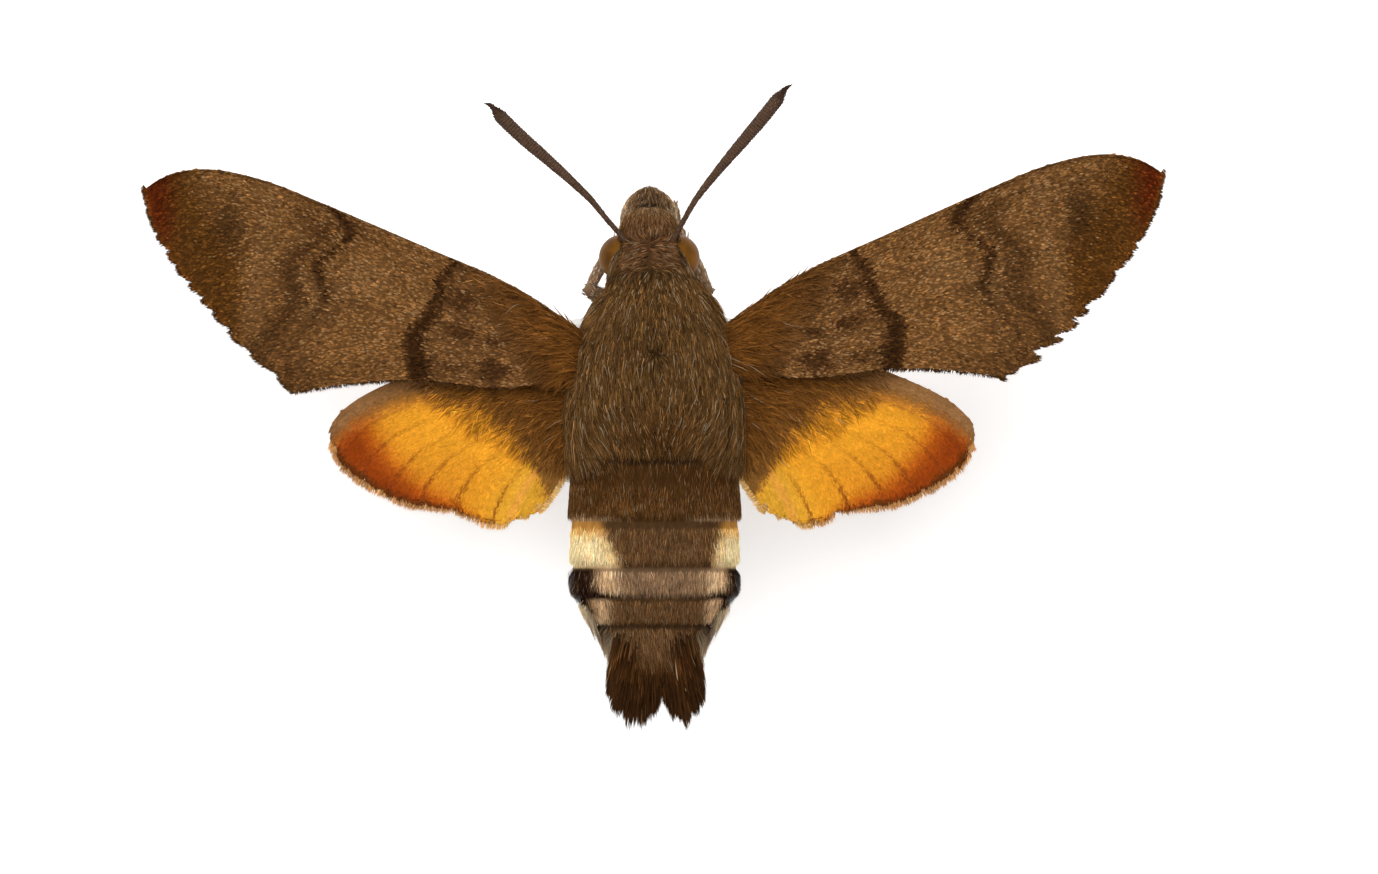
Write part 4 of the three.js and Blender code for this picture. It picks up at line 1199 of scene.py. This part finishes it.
def shin_width(t):
    """Slimmer than the thigh, and nearly even."""
    return 0.36 + 0.16 * math.sin(math.pi * (0.1 + 0.8 * float(t)))


def foot_width(t):
    """Five joints, each a little wider at its end."""
    joint = (float(t) * 5) % 1
    return (0.3 - 0.12 * float(t)) * (0.85 + 0.3 * joint * joint)


for leg_name, (thigh, shin, foot) in LEGS.items():
    for side_name, side in (("right", 1), ("left", -1)):
        tuck = RIGHT_FORELEG_TUCK if (leg_name, side) == ("fore", 1) else 1
        to_side = lambda line: [(side * tuck * x, y, z) for x, y, z in line]
        bm = bent_tube(to_side(thigh), thigh_width, sides=14, steps=24)
        join_into(bm, bent_tube(to_side(shin), shin_width, sides=12, steps=24))
        join_into(bm, bent_tube(to_side(foot), foot_width, sides=10, steps=60))
        join_into(bm, bead(to_side(shin)[0], 0.27))
        join_into(bm, bead(to_side(foot)[0], 0.2))
        heel, toe = np.array(to_side(foot)[0]), np.array(to_side(foot)[1])
        end = np.array(to_side(foot)[2])
        reach = (toe - heel) / np.linalg.norm(toe - heel)
        for spread in (-0.3, 0.3):
            spur_end = heel + reach * 0.9 + np.array([spread, 0, -0.26])
            spur = [tuple(heel), tuple((heel + spur_end) / 2 + [0, 0, -0.03]), tuple(spur_end)]
            join_into(bm, bent_tube(spur, lambda t: 0.16 * (1 - 0.8 * float(t)), sides=6, steps=6))
            claw_end = end + np.sign(end - toe) * [0, 0.24, 0] + np.array([spread * 0.4, 0, -0.14])
            claw = [tuple(end), tuple((end + claw_end) / 2 + [spread * 0.15, 0, 0.06]), tuple(claw_end)]
            join_into(bm, bent_tube(claw, lambda t: 0.09 * (1 - 0.8 * float(t)), sides=5, steps=5))
        name = f"leg_{leg_name}_{side_name}"
        limb = piece(name + "_skin", bm, CHITIN, (name,))
        paint(limb, layered((0.17, 0.105, 0.058), len(limb.data.vertices), []))
        for part, line, wide, count in (("thigh", thigh, thigh_width, 420), ("shin", shin, shin_width, 320),
                                        ("foot", foot, foot_width, 240)):
            t, angle = draw.uniform(0.02, 0.97, count), draw.uniform(0, 2 * math.pi, count)
            root, normal, ahead = around_line(to_side(line), wide, t, angle, 0.48)
            pale = vary(layered((0.24, 0.15, 0.085), count, []), 0.3, 0.15, (0.6, 0.5, 0.38))
            length = 0.3 * draw.uniform(0.7, 1.2, count)
            grow_scales(f"{name}_{part}_scales", root, normal, ahead, length, 0.09,
                        draw.uniform(0.05, 0.25, count), pale, tube_unwrap(t, angle))

# %% [markdown]
# ## The stand
# The stand's two solids keep their shape. They only get finer finishes: a satin white foot and a brushed
# rod.

# %% Finishes of the stand
STAND = finish("stand, satin white", (0.82, 0.81, 0.78), rough=0.35, coat=0.3, mottle=(5, 0.02),
               relief=(100, 0.05))
ROD = finish("rod, brushed steel", (0.55, 0.56, 0.57), rough=0.3, metal=1.0, mottle=(20, 0.08),
             relief=(400, 0.2), stretch=(1, 1, 0.1))
for node, material in (("stand_foot", STAND), ("stand_rod", ROD)):
    for made in scene.objects:
        if made.type == "MESH" and made.name.split(".")[0] == node:
            made.data.materials.clear()
            made.data.materials.append(material)
            print(node, "gets", material.name)

# %% [markdown]
# ## Camera, light and floor
# The picture looks straight down on the moth, as one does on a drawer of set moths. The camera stands far
# off with a long lens, so that high and low parts keep their true size against each other. Light comes
# mostly from above, with a little more from the left than from the right, and a pale floor catches the soft
# shadow.

# %% Camera, floor and lamps
def aim(made, target):
    """Turns a light or camera to look at a point."""
    made.rotation_euler = (Vector(target) - made.location).to_track_quat("-Z", "Y").to_euler()


FRAME_WIDE = 62.3  # millimetres that the picture shows across, at the height of the wings
FRAME_MIDDLE = (1.56, -1.33)
WING_HEIGHT = 12.0
DISTANCE = 900.0
camera_data = bpy.data.cameras.new("camera")
camera_data.sensor_width = 36.0
camera_data.lens = 36.0 * DISTANCE / FRAME_WIDE
camera_data.clip_start, camera_data.clip_end = 0.01, 10.0
camera = bpy.data.objects.new("camera", camera_data)
camera.location = (FRAME_MIDDLE[0] * MM, FRAME_MIDDLE[1] * MM, (DISTANCE + WING_HEIGHT) * MM)
scene.collection.objects.link(camera)
scene.camera = camera

bm = bmesh.new()
bmesh.ops.create_grid(bm, x_segments=1, y_segments=1, size=600 * MM)
FLOOR = finish("floor", (0.9, 0.9, 0.9), rough=0.9, specular=0.0, mottle=(1, 0.0), relief=(1, 0.0))
glow = FLOOR.node_tree.nodes["Principled BSDF"].inputs
glow["Emission Color"].default_value = (1, 1, 1, 1)
glow["Emission Strength"].default_value = 0.33
floor_mesh = bpy.data.meshes.new("floor")
bm.to_mesh(floor_mesh)
bm.free()
floor_mesh.materials.append(FLOOR)
floor = bpy.data.objects.new("floor", floor_mesh)
scene.collection.objects.link(floor)
floor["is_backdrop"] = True

LIGHTS = {
    # name: place in millimetres, size in millimetres, watts
    "overhead": ((-40, 120, 420), 400, 1.55),
    "left": ((-330, 120, 260), 220, 0.62),
    "right": ((330, 60, 260), 220, 0.42),
}
for name, (place, size, watts) in LIGHTS.items():
    lamp = bpy.data.lights.new(name, "AREA")
    lamp.shape = "DISK"
    lamp.size = size * MM
    lamp.energy = watts
    made = bpy.data.objects.new(name, lamp)
    made.location = [c * MM for c in place]
    scene.collection.objects.link(made)
    aim(made, (0, 0, 10 * MM))
world = bpy.data.worlds.new("studio")
world.use_nodes = True
sky = world.node_tree.nodes["Background"].inputs
sky["Color"].default_value = (1, 1, 1, 1)
sky["Strength"].default_value = 0.42
scene.world = world
scene.view_settings.view_transform = "Standard"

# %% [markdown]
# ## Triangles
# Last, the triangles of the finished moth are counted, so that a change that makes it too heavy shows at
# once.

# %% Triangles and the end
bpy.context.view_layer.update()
totals = {}
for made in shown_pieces():
    kind = "coat" if "OFBake" in made.data.uv_layers else "other"
    totals[kind] = totals.get(kind, 0) + len(made.data.loops) - 2 * len(made.data.polygons)
print("triangles", totals)
